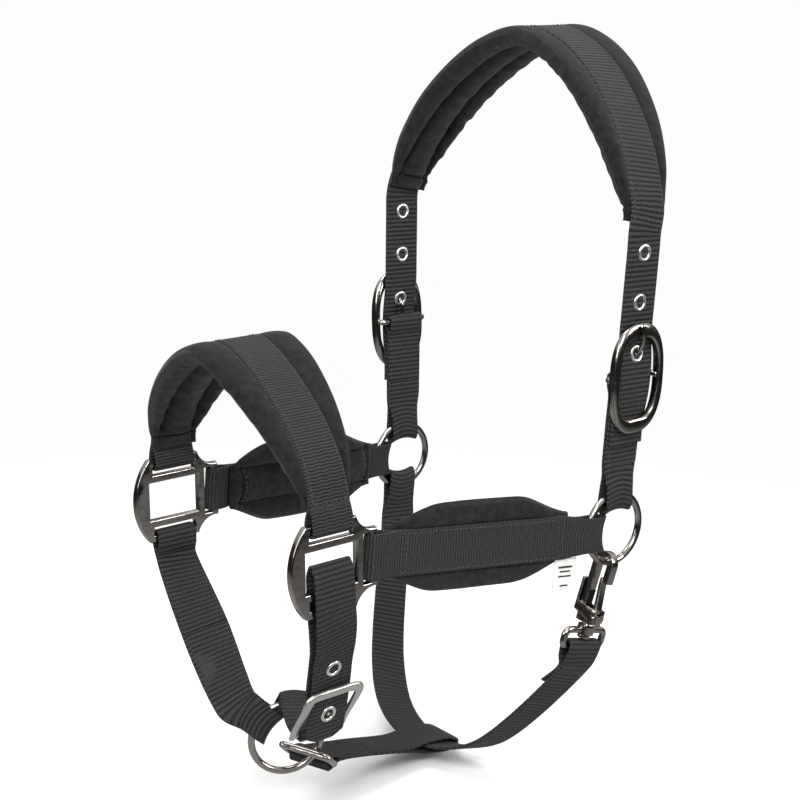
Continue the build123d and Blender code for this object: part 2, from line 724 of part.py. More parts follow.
def chin_link():
    """Flat rectangular wire link, hooked through the chin ring."""
    front_bar, length, depth = link_frame()
    span = LINK_DEPTH - LINK_WIRE
    centre = front_bar + depth * (span / 2)
    plane = Plane(origin=centre, x_dir=length, z_dir=length.cross(depth))
    wide = LINK_LENGTH - LINK_WIRE
    loop = RectangleRounded(wide, span, 2.2)
    path = (plane * loop).wire()
    start = Plane(origin=path @ 0, z_dir=path % 0)
    return sweep(start * Circle(LINK_WIRE / 2), path=path)


def throat_low_point():
    """Lowest point of the throat strap, where the connector holds it."""
    return Vector(-55.5, 2.0, -149.0)


def connector_strap():
    """Strap from the link to a loop round the throat strap."""
    front_bar, length, depth = link_frame()
    bar = front_bar + depth * (LINK_DEPTH - LINK_WIRE)
    low = throat_low_point()
    aim = (low - bar).normalized()
    first = (aim - length * aim.dot(length)).normalized()
    reach = LINK_WIRE / 2 + LOOP_GAP
    bar_profile = sewn_loop(LINK_WIRE + 2 * LOOP_GAP, reach, reach, SEWN_NECK)
    across = Vector(0, -1, 0)
    last = Vector(-1, 0, 0.16).normalized()
    wrap = sewn_loop(WEB_THICK + 3.6, HALF_WEB + 1.2, HALF_WEB + 1.2, HALF_WEB + 9.0)
    front = loop_at(bar, first, length, bar_profile)
    rear = loop_at(low, last, across, wrap)
    start = bar + first * (SEWN_NECK - 1)
    finish = low + last * (HALF_WEB + 8.0)
    middle = ribbon([start, finish], first, -last, length, across, 2 * WEB_THICK)
    return front + rear + middle


# ---------------------------------------------------------------- throat strap and snap
def snap_space():
    """Local space of the snap: zero at the left ring, Y out from the head, Z up."""
    hang = Pos(0, -RING_SPREAD, 0) * Rot(0, SNAP_TILT, 0) * Pos(0, 0, -RING_RADIUS)
    return hang * Rot(SNAP_LEAN, 0, 0) * Pos(0, 0, RING_RADIUS) * Rot(0, 0, 180)


def snap_point(back, out, up):
    """World place from distances in the snap's own space."""
    return (snap_space() * Pos(-back, out, up)).position


def throat_strap():
    """Strap under the throat from the right ring to the eye of the snap."""
    ring_centre = Vector(0, RING_SPREAD, 0)
    leave = Vector(-0.1, -0.05, -1).normalized()
    spoke = Vector(leave.X, 0, leave.Z).normalized()
    tangent = Vector(-spoke.Z, 0, spoke.X)
    ring_bar = ring_centre + spoke * RING_RADIUS
    top = loop_at(ring_bar, leave, tangent, ring_profile())
    top = pinched(top, ring_centre, spoke, tangent, PINCH_ANGLE)
    eye_bar = snap_point(0, 0, EYE_BAR_HEIGHT)
    bar_axis = (snap_point(10, 0, EYE_BAR_HEIGHT) - eye_bar).normalized()
    aim = (eye_bar - snap_point(0, 0, 0)).normalized()
    reach = EYE_WIRE / 2 + LOOP_GAP
    eye_profile = sewn_loop(EYE_WIRE + 2 * LOOP_GAP, reach, reach, SEWN_NECK)
    eye = loop_at(eye_bar, aim, bar_axis, eye_profile)
    start = ring_bar + leave * (SEWN_NECK - 1)
    finish = eye_bar + aim * (SEWN_NECK - 1)
    low = throat_low_point()
    way = [start, (-12, 88, -68), (-28, 74, -106), (-46, 50, -136), (-54.4, 20, -147.7),
           (low.X, low.Y, low.Z), (-54.4, -16, -147.7), (-48, -44, -137), finish]
    across = tangent
    middle = ribbon(way, leave, -aim, across, bar_axis, WEB_THICK, count=26)
    return top + eye + middle


EYE_BAR_HEIGHT = -71.0
EYE_TOP_HEIGHT = -59.0
BODY_LOW = -57.0
BODY_HIGH = -50.0
HOOK_CENTRE = -21.0
HOOK_OUTER = HOOK_INNER + HOOK_BAR
TIP_LOW = -31.0
PIVOT_OUT = 4.6
PIVOT_UP = -52.5


def snap_eye():
    """Rectangular eye of the snap with a drilled boss for the swivel."""
    wide = EYE_INNER + EYE_WIRE
    tall = EYE_TOP_HEIGHT - EYE_BAR_HEIGHT - 2.0
    middle = EYE_BAR_HEIGHT + tall / 2
    plane = Plane(origin=(0, 0, middle), x_dir=(1, 0, 0), z_dir=(0, -1, 0))
    path = (plane * RectangleRounded(wide, tall, 3.5)).wire()
    start = Plane(origin=path @ 0, z_dir=path % 0)
    eye = sweep(start * Circle(EYE_WIRE / 2), path=path)
    boss_height = 4.6
    boss = Pos(0, 0, EYE_TOP_HEIGHT - 1.6) * Cylinder(5.0, boss_height)
    eye += boss
    eye -= Pos(0, 0, EYE_TOP_HEIGHT) * Cylinder(SWIVEL_PIN / 2 + PIN_CLEARANCE, 12.0)
    return snap_space() * eye


def snap_hook():
    """Hook body with shank and swivel head."""
    drop = HOOK_CENTRE
    bend = Pos(0, drop) * (Circle(HOOK_OUTER) - Circle(HOOK_INNER))
    bend &= Pos(0, drop + HOOK_OUTER / 2) * Rectangle(2 * HOOK_OUTER, HOOK_OUTER)
    spine_length = drop - BODY_LOW
    middle = -(HOOK_INNER + HOOK_OUTER) / 2
    spine = Pos(middle, drop - spine_length / 2) * Rectangle(HOOK_BAR, spine_length)
    tip = Pos(-middle, (drop + TIP_LOW) / 2) * Rectangle(HOOK_BAR, drop - TIP_LOW)
    body_mid = (BODY_LOW + BODY_HIGH) / 2
    body = Pos(0, body_mid) * Rectangle(2 * HOOK_OUTER, BODY_HIGH - BODY_LOW)
    hook = extrude(Plane.YZ * (bend + spine + tip + body), HOOK_THICK / 2, both=True)
    shank_end = EYE_TOP_HEIGHT - 6.6
    shank = Pos(0, 0, (BODY_LOW + shank_end) / 2) * Cylinder(SWIVEL_PIN / 2, BODY_LOW - shank_end)
    head = Pos(0, 0, shank_end + 0.9) * Cylinder(3.6, 1.8)
    hook += shank + head
    hook -= Pos(0, PIVOT_OUT, PIVOT_UP) * Rot(0, 90, 0) * Cylinder(PIVOT_PIN / 2, 12.0)
    hook -= Pos(0, PIVOT_OUT, BODY_HIGH) * Box(2.4, 20.0, 2.0)
    return snap_space() * hook


def snap_gate():
    """Gate bar and thumb plate in one piece, straddling the hook body."""
    low = BODY_HIGH + 0.5
    bar = outline_of([(PIVOT_OUT - 1.4, low), (PIVOT_OUT + 1.2, low), (HOOK_INNER - 0.15, -32.0),
                      (HOOK_INNER - 0.15, TIP_LOW + 2.5),
                      (HOOK_INNER - 0.15 - GATE_THICK, TIP_LOW + 2.5),
                      (HOOK_INNER - 0.15 - GATE_THICK, -33.0)])
    gate = extrude(Plane.YZ * bar, HOOK_THICK / 2 - 0.2, both=True)
    plate_out = -HOOK_OUTER - 1.6
    gap = HOOK_THICK / 2 + 0.2
    cheek_thick = 1.2
    cheek = outline_of([(PIVOT_OUT + 2.4, PIVOT_UP - 2.0), (PIVOT_OUT + 2.4, PIVOT_UP + 5.2),
                        (plate_out + 0.8, PIVOT_UP + 6.0), (plate_out - 0.8, PIVOT_UP + 6.0),
                        (plate_out - 0.8, PIVOT_UP + 1.0), (PIVOT_OUT - 2.4, PIVOT_UP - 2.0)])
    wide = 2 * (gap + cheek_thick)
    for side in (1, -1):
        slab = extrude(Plane.YZ * cheek, cheek_thick / 2, both=True)
        gate += Pos(side * (gap + cheek_thick / 2), 0, 0) * slab
    gate += Pos(0, plate_out, PIVOT_UP + 10.5) * Box(wide, 1.6, 19.0)
    bridge = Pos(0, PIVOT_OUT - 0.1, low + 1.2) * Box(wide, 2.2, 1.8)
    gate += bridge
    gate -= Pos(0, PIVOT_OUT, PIVOT_UP) * Rot(0, 90, 0) * Cylinder(
        PIVOT_PIN / 2 + PIN_CLEARANCE, 20.0)
    return snap_space() * gate


def snap_gate_rivet():
    """Rivet the gate turns on, with a head each side."""
    grip = HOOK_THICK + 2 * (0.2 + 1.2) + 0.3
    pin = Cylinder(PIVOT_PIN / 2, grip + 1.6)
    head = Cylinder(2.0, 0.8)
    rivet = pin + Pos(0, 0, grip / 2 + 0.4) * head + Pos(0, 0, -grip / 2 - 0.4) * head
    return snap_space() * Pos(0, PIVOT_OUT, PIVOT_UP) * Rot(0, 90, 0) * rivet


def snap_spring():
    """Leaf spring standing against the spine inside the hook."""
    leaf = Pos(0, -HOOK_INNER + 0.5, BODY_HIGH + 6.1) * Box(3.6, 0.8, 12.0)
    return snap_space() * leaf


def size_label():
    """Folded fabric tag sewn under the left cheek webbing near the ring."""
    front, rear = cheek_ends()
    tag = Box(15.0, 0.8, 19.0)
    run = math.degrees(math.atan2(rear.Y - front.Y, rear.X - front.X))
    place = front + (rear - front) * 0.86
    spot = Pos(place.X, -place.Y, place.Z - HALF_WEB - 10.8)
    return spot * Rot(0, 0, -run) * tag


# ---------------------------------------------------------------- output
def main():
    """Build every piece and write one file for each."""
    crown_cover, crown_foam = crown_pad()
    nose_cover, nose_foam = nose_pad()
    cheek_cover, cheek_foam = cheek_pad()
    pieces = {
        "crown_webbing": crown_webbing(),
        "crown_pad_cover": crown_cover,
        "crown_pad_foam": crown_foam,
        "nose_webbing": nose_webbing(),
        "nose_pad_cover": nose_cover,
        "nose_pad_foam": nose_foam,
        "right_chin_strap": right_chin_strap(),
        "left_chin_strap": left_chin_strap(),
        "chin_anchor_strap": chin_anchor_strap(),
        "chin_buckle_frame": chin_buckle_frame(),
        "chin_buckle_tongue": chin_buckle_tongue(),
        "chin_eyelets": Compound(children=chin_eyelets()),
        "chin_ring": chin_ring(),
        "chin_link": chin_link(),
        "connector_strap": connector_strap(),
        "throat_strap": throat_strap(),
        "snap_eye": snap_eye(),
        "snap_hook": snap_hook(),
        "snap_gate": snap_gate(),
        "snap_gate_rivet": snap_gate_rivet(),
        "snap_spring": snap_spring(),
        "size_label": size_label(),
    }
    paired = {
        "upper_cheek_strap": upper_cheek_strap(),
        "crown_buckle_frame": crown_buckle_frame(),
        "crown_buckle_tongue": crown_buckle_tongue(),
        "crown_eyelets": Compound(children=crown_eyelets()),
        "cheek_ring": cheek_ring(),
        "halter_square": halter_square(),
        "cheek_webbing": cheek_webbing(),
        "cheek_pad_cover": cheek_cover,
        "cheek_pad_foam": cheek_foam,
    }
    for name, shape in paired.items():
        pieces["right_" + name] = shape
        pieces["left_" + name] = to_left(shape)
    os.makedirs("parts", exist_ok=True)
    nose_rest = NOSE_APEX - WEB_THICK / 2 - SEW_GAP - SOFT_PAD_THICK
    to_nose = Pos(-NOSE_CENTRE, 0, -nose_rest)
    for name, shape in pieces.items():
        export_step(to_nose * shape, "parts/" + name + ".step")


main()
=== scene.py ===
import json
import logging
import math
from dataclasses import dataclass, field
from enum import Enum

import bmesh
import bpy
import numpy as np
from mathutils import Matrix, Vector

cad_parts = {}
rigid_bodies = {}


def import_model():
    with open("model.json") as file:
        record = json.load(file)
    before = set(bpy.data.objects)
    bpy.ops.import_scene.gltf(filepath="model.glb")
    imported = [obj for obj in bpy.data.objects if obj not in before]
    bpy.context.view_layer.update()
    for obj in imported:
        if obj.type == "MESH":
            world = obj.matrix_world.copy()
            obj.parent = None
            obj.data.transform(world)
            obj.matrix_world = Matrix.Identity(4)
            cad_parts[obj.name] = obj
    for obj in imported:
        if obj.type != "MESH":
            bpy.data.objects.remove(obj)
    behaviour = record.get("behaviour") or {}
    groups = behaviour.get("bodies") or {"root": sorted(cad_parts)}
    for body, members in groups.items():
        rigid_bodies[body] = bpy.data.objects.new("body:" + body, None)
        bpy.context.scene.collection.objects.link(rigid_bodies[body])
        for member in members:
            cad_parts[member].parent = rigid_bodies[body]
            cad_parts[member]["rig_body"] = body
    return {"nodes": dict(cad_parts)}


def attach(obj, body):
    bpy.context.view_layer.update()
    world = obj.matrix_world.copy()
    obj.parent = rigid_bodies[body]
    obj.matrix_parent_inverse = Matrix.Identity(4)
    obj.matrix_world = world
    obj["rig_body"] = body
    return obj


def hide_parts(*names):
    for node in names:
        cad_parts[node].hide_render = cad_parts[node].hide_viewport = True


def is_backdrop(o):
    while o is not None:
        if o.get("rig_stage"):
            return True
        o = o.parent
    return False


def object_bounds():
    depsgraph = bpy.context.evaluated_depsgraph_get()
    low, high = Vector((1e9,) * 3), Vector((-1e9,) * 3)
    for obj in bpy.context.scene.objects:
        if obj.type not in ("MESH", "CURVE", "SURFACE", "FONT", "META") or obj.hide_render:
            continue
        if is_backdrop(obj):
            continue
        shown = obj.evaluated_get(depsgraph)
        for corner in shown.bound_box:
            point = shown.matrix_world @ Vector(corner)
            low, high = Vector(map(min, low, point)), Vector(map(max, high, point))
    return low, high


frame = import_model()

# The looks of a padded webbing headcollar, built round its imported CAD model.
# Shapes are drawn in millimetres from the midpoint between the cheek rings
# (X towards the poll, Y to the horse's right, Z up) and placed in metres.

log = logging.getLogger("headcollar")
Array = np.ndarray

MM = 0.001
DRAWING_ZERO = np.array([184.0, 0.0, -107.35])
WEB_WIDTH = 25.0
WEB_THICK = 1.62
RING_RADIUS = 20.0
RING_WIRE = 4.0
RING_SPREAD = 95.0
SIDE_LEAN = math.radians(2.2)
SIDE_RAKE = 0.045
BUCKLE_HEIGHT = 88.0
SQUARE_CENTRE = np.array([-184.0, 75.0, 13.0])
TOP_BAR_DROP = 22.2
REAR_BAR_DROP = 27.2
CHIN_BUCKLE_CENTRE = np.array([-175.0, -60.1, -72.0])
CHIN_LEAN = math.radians(15.0)
CHIN_HEEL_DEPTH = 5.6
CHIN_HEEL_DROP = 17.0
CHIN_FRAME_HALF = 16.4
CHIN_HEEL_BAR = 3.2
CHIN_RING_CENTRE = np.array([-170.6, -15.0, -106.6])
CHIN_RING_YAW = math.radians(20.0)
RIGHT_TIE = 140.0
LEFT_TIE = 78.0
SNAP_TILT = math.radians(15.0)
SNAP_LEAN = math.radians(6.0)
OTHER_SIDE = np.array([1.0, -1.0, 1.0])
FORWARD = np.array([-1.0, 0.0, 0.0])

LAYER_GAP = WEB_THICK / 2 + 0.12
STITCH_PITCH = 3.1
STITCH_SHARE = 0.78
THREAD_THICK = 0.74
SELVAGE = 0.93
SELVAGE_LIFT = 0.07
TIP_SHARE = 0.42
SEAM_EDGE = 10.6
CROSS_HALF = 10.4
ROW_GAP = 3.0

# Each loop's fold: distance from the bar to its inner face, and half its cavity.
RING_FOLD = (7.2, 2.5)
SQUARE_FOLD = (3.0, 2.9)
LINK_FOLD = (2.8, 2.8)
HEEL_FOLD = (2.3, 2.3)
CROWN_BAR_FOLD = (2.1, 2.1)


class Side(Enum):
    """Side of the head; the value is the sign of Y."""

    RIGHT = 1.0
    LEFT = -1.0

    @property
    def word(self) -> str:
        """Name used in node and piece names."""
        return self.name.lower()


class Face(Enum):
    """Face of a strap or pad; the value is the sign of its normal."""

    OUTER = 1.0
    INNER = -1.0


# ------------------------------------------------------------------ geometry
def unit(vectors: Array) -> Array:
    """Scale vectors to length one.

    Args:
        vectors: One vector or an array of them in the last axis.

    Returns:
        Vectors of length one in the same shape.
    """
    vectors = np.asarray(vectors, float)
    return vectors / np.linalg.norm(vectors, axis=-1, keepdims=True)


def curve_through(points: Array, per_span: int = 24) -> Array:
    """Centripetal Catmull-Rom curve through points, which never overshoots.

    Args:
        points: Control points, one per row.
        per_span: Samples between two neighbouring points.

    Returns:
        Points along the curve.
    """
    points = np.asarray(points, float)
    ends = np.vstack([2 * points[0] - points[1], points, 2 * points[-1] - points[-2]])
    knots = np.concatenate([[0.0], np.cumsum(np.linalg.norm(np.diff(ends, axis=0), axis=1) ** 0.5)])
    spans = []
    for i in range(1, len(ends) - 2):
        a, b, c, d = knots[i - 1:i + 3]
        t = np.linspace(b, c, per_span, endpoint=False)[:, None]
        p, q, r, s = ends[i - 1:i + 3]
        low = (b - t) / (b - a) * p + (t - a) / (b - a) * q
        mid = (c - t) / (c - b) * q + (t - b) / (c - b) * r
        top = (d - t) / (d - c) * r + (t - c) / (d - c) * s
        left = (c - t) / (c - a) * low + (t - a) / (c - a) * mid
        right = (d - t) / (d - b) * mid + (t - b) / (d - b) * top
        spans.append((c - t) / (c - b) * left + (t - b) / (c - b) * right)
    return np.vstack(spans + [points[-1:]])


def evenly(points: Array, step: float, extra: Array | None = None) -> tuple[Array, Array, Array | None]:
    """Resample a curve at even steps of length.

    Args:
        points: Curve as rows of points.
        step: Wanted spacing in millimetres.
        extra: Values that go with the points, resampled alongside.

    Returns:
        New points, their lengths along the curve, and the resampled extra.
    """
    reach = np.concatenate([[0.0], np.cumsum(np.linalg.norm(np.diff(points, axis=0), axis=1))])
    count = max(8, int(round(reach[-1] / step)))
    length = np.linspace(0.0, reach[-1], count + 1)
    fresh = np.stack([np.interp(length, reach, column) for column in points.T], axis=1)
    if extra is None:
        return fresh, length, None
    return fresh, length, np.stack([np.interp(length, reach, column) for column in extra.T], axis=1)


def follow(points: Array, across: Array, per_span: int, step: float) -> tuple[Array, Array, Array, Array]:
    """Even points along a curve, with a width direction square to it.

    Args:
        points: Control points.
        across: Wanted width direction, one or one at each control point.
        per_span: Samples between two control points.
        step: Spacing of the even points.

    Returns:
        Points, their lengths along the curve, its directions and the widths'.
    """
    points = np.asarray(points, float)
    across = np.broadcast_to(np.asarray(across, float), points.shape)
    fine = curve_through(points, per_span)
    where = np.linspace(0, len(points) - 1, len(fine))
    guide = np.stack([np.interp(where, np.arange(len(points)), column) for column in across.T], axis=1)
    centre, length, guide = evenly(fine, step, guide)
    along = tangents(centre)
    wide = unit(guide - along * np.sum(guide * along, axis=1, keepdims=True))
    return centre, length, along, wide


def values_at(s: Array, length: Array, grids: tuple[Array, ...]) -> list[Array]:
    """Values of several grids of vectors at lengths along a curve."""
    return [np.stack([np.interp(s, length, column) for column in grid.T], axis=-1) for grid in grids]


def tangents(points: Array) -> Array:
    """Directions along a curve given as rows of points."""
    return unit(np.gradient(points, axis=0))


def closed_tangents(points: Array) -> Array:
    """Directions along a closed curve whose last point isn't repeated."""
    return unit(np.roll(points, -1, axis=0) - np.roll(points, 1, axis=0))


def superellipse(width: float, height: float, power: float, count: int = 24) -> Array:
    """Closed rounded section: |x|^p + |y|^p = 1, scaled to width and height.

    Args:
        width: Full width.
        height: Full height.
        power: The p: 2 is an ellipse, and more is squarer.
        count: Number of points.

    Returns:
        Points round the section.
    """
    turn = np.linspace(0, 2 * math.pi, count, endpoint=False)
    cosine, sine = np.cos(turn), np.sin(turn)
    x = np.sign(cosine) * np.abs(cosine) ** (2 / power) * width / 2
    y = np.sign(sine) * np.abs(sine) ** (2 / power) * height / 2
    return np.stack([x, y], axis=1)


def grid_faces(rows: int, columns: int, closed_rows: bool, closed_columns: bool) -> Array:
    """Quads of a grid of vertices, optionally joined end to end either way.

    Args:
        rows: Number of rows.
        columns: Vertices in each row.
        closed_rows: Whether the last row joins the first.
        closed_columns: Whether the last column joins the first.

    Returns:
        Four vertex numbers for each quad.
    """
    row = np.arange(rows if closed_rows else rows - 1)
    column = np.arange(columns if closed_columns else columns - 1)
    r, c = np.meshgrid(row, column, indexing="ij")
    r2, c2 = (r + 1) % rows, (c + 1) % columns
    quads = np.stack([r * columns + c, r2 * columns + c, r2 * columns + c2, r * columns + c2], axis=-1)
    return quads.reshape(-1, 4)


def end_caps(rows: int, columns: int) -> tuple[Array, Array]:
    """Vertex numbers of the first and the last row of a grid, to close it."""
    return np.arange(columns)[::-1], np.arange(columns) + (rows - 1) * columns


def make_mesh(name: str, vertices: Array, quads: Array, caps: tuple[Array, ...] = (),
              weave: Array | None = None, smooth: bool = True) -> bpy.types.Object:
    """Mesh object from arrays, placed in the row frame.

    Args:
        name: Name of the object.
        vertices: Vertices in millimetres of the drawing frame.
        quads: Four vertex numbers for each face.
        caps: Rings of vertex numbers, each closed with one flat face.
        weave: Values (across, along, face) kept on the vertices.
        smooth: Whether faces are shaded smooth.

    Returns:
        The linked object, its normals outward.
    """
    mesh = bpy.data.meshes.new(name)
    faces = quads.tolist() + [cap.tolist() for cap in caps]
    mesh.from_pydata(((vertices + DRAWING_ZERO) * MM).tolist(), [], faces)
    mesh.update()
    if weave is not None:
        layer = mesh.attributes.new("weave", "FLOAT_VECTOR", "POINT")
        layer.data.foreach_set("vector", weave.astype(np.float32).ravel())
    mesh.polygons.foreach_set("use_smooth", np.full(len(mesh.polygons), smooth))
    piece = bpy.data.objects.new(name, mesh)
    bpy.context.scene.collection.objects.link(piece)
    outward_normals(piece)
    return piece


def outward_normals(piece: bpy.types.Object) -> None:
    """Turn the normals of every closed shell outward.

    Args:
        piece: Object whose mesh is mended.
    """
    work = bmesh.new()
    work.from_mesh(piece.data)
    bmesh.ops.recalc_face_normals(work, faces=work.faces)
    work.to_mesh(piece.data)
    work.free()
    piece.data.update()


def sweep(name: str, centres: Array, first: Array, second: Array, section: Array,
          closed: bool = False, weave: Array | None = None) -> bpy.types.Object:
    """Solid swept along a path.

    Each vertex is the path's centre plus the section's x along the first
    direction and its y along the second.

    Args:
        name: Name of the object.
        centres: Path points.
        first: Direction of the section's x at each point.
        second: Direction of the section's y at each point.
        section: One closed section, or one for each point.
        closed: Whether the path joins up with itself.
        weave: Values kept on the vertices.

    Returns:
        The finished object.
    """
    rows = len(centres)
    if section.ndim == 2:
        section = np.broadcast_to(section, (rows,) + section.shape)
    columns = section.shape[1]
    vertices = (centres[:, None] + section[..., :1] * first[:, None] + section[..., 1:] * second[:, None])
    quads = grid_faces(rows, columns, closed, True)
    caps = () if closed else end_caps(rows, columns)
    return make_mesh(name, vertices.reshape(-1, 3), quads, caps, weave)


def tube(name: str, points: Array, diameter: float, closed: bool = False,
         count: int = 20) -> bpy.types.Object:
    """Round wire along a path, its section kept square to the path.

    Args:
        name: Name of the object.
        points: Path points, lying in or near one plane.
        diameter: Wire diameter.
        closed: Whether the path joins up with itself.
        count: Sides of the section.

    Returns:
        The finished object.
    """
    along = closed_tangents(points) if closed else tangents(points)
    spread = points - points.mean(axis=0)
    normal = np.linalg.svd(spread)[2][2]
    first = np.broadcast_to(normal, along.shape)
    first = unit(first - along * np.sum(first * along, axis=1, keepdims=True))
    second = np.cross(along, first)
    return sweep(name, points, first, second, superellipse(diameter, diameter, 2.0, count), closed)


def lathe(name: str, profile: Array, place: Matrix, count: int = 40) -> bpy.types.Object:
    """Closed profile turned about the Z of a place.

    Args:
        name: Name of the object.
        profile: Rows of (radius, height).
        place: Where it stands and which way its Z points.
        count: Steps round the turn.

    Returns:
        The finished object.
    """
    turn = np.linspace(0, 2 * math.pi, count, endpoint=False)
    r, z = profile[:, 0], profile[:, 1]
    ring = np.stack([np.cos(turn)[:, None] * r, np.sin(turn)[:, None] * r,
                     np.broadcast_to(z, (count, len(z)))], axis=-1).reshape(-1, 3)
    world = ring @ np.array(place.to_3x3()).T + np.array(place.translation)
    return make_mesh(name, world, grid_faces(count, len(profile), True, True))


def join(name: str, parts: list[bpy.types.Object]) -> bpy.types.Object:
    """Join objects into one.

    Args:
        name: Name of the result.
        parts: Objects, the first of which is kept.

    Returns:
        The joined object.
    """
    bpy.ops.object.select_all(action="DESELECT")
    for part in parts:
        part.select_set(True)
    bpy.context.view_layer.objects.active = parts[0]
    if len(parts) > 1:
        bpy.ops.object.join()
    parts[0].name = name
    parts[0].data.name = name
    return parts[0]


def stitch_mesh(name: str, starts: Array, ends: Array, lifts: Array, thick: float) -> bpy.types.Object:
    """Stitches, each a short thread that dives into the cloth at both ends.

    Args:
        name: Name of the object.
        starts: Start of each stitch.
        ends: End of each stitch.
        lifts: Direction out of the cloth at each stitch.
        thick: Thread diameter.

    Returns:
        One object with every stitch.
    """
    rings, sides = 7, 7
    share = np.linspace(0, 1, rings)
    arch = np.sin(share * math.pi) ** 0.6
    along = unit(ends - starts)
    lifts = unit(lifts - along * np.sum(lifts * along, axis=1, keepdims=True))
    across = np.cross(along, lifts)
    turn = np.linspace(0, 2 * math.pi, sides, endpoint=False)
    centre = starts[:, None] + (ends - starts)[:, None] * share[:, None]
    centre = centre + lifts[:, None] * (thick * (arch * 0.75 - 0.55))[:, None]
    radius = thick / 2 * (0.55 + 0.45 * arch)
    ring = (np.cos(turn)[:, None] * across[:, None, None] + np.sin(turn)[:, None] * lifts[:, None, None])
    vertices = centre[:, :, None] + ring * radius[:, None, None]
    quads = grid_faces(rings, sides, False, True)
    block = rings * sides
    base = np.arange(len(starts))[:, None, None] * block
    quads = (quads[None] + base).reshape(-1, 4)
    caps = tuple(cap + number * block for number in range(len(starts)) for cap in end_caps(rings, sides))
    return make_mesh(name, vertices.reshape(-1, 3), quads, caps)


def mirrored(points: Array, side: Side) -> Array:
    """Points of the right side moved to a side of the head."""
    return np.asarray(points, float) * np.array([1.0, side.value, 1.0])


# ------------------------------------------------------------------ finishes
@dataclass(frozen=True)
class WebbingFinish:
    """Look of woven webbing.

    Args:
        name: Name of the material.
        colour: Base colour of the yarn.
        rib_pitch: Distance between cross ribs in millimetres.
        yarn_pitch: Distance between lengthwise yarns in millimetres.
        slant: Share of a rib by which the pattern leans, as in a herringbone.
    """

    name: str
    colour: tuple[float, float, float]
    rib_pitch: float
    yarn_pitch: float
    slant: float = 0.0


@dataclass(frozen=True)
class MetalFinish:
    """Look of a plated metal: colour, roughness and how uneven it is."""

    name: str
    colour: tuple[float, float, float]
    roughness: float
    mottle: float = 0.08


@dataclass(frozen=True)
class ClothFinish:
    """Look of a plain napped or satin cloth."""

    name: str
    colour: tuple[float, float, float]
    roughness: float
    sheen: float
    grain: float


COARSE_WEBBING = WebbingFinish("webbing_coarse", (0.0082, 0.0082, 0.0087), 2.7, 1.25)
FINE_WEBBING = WebbingFinish("webbing_fine", (0.0085, 0.0085, 0.0090), 1.7, 0.9, 0.14)
MICROFIBRE = ClothFinish("pad_microfibre", (0.0074, 0.0074, 0.0082), 0.95, 0.13, 1.0)
THREAD = ClothFinish("thread", (0.040, 0.040, 0.042), 0.55, 0.1, 0.15)
# The size label is white cloth; its mid grey colour is painted shade.
LABEL_CLOTH = ClothFinish("label_satin", (0.56, 0.56, 0.55), 0.55, 0.05, 0.12)
LABEL_PRINT = ClothFinish("label_print", (0.03, 0.03, 0.03), 0.6, 0.0, 0.1)
GUNMETAL = MetalFinish("gunmetal", (0.38, 0.355, 0.33), 0.13, 0.08)
NICKEL = MetalFinish("bright_nickel", (0.80, 0.78, 0.75), 0.34)
PEWTER = MetalFinish("pewter", (0.62, 0.60, 0.57), 0.3)
BLACK_STEEL = MetalFinish("black_steel", (0.03, 0.03, 0.03), 0.4)


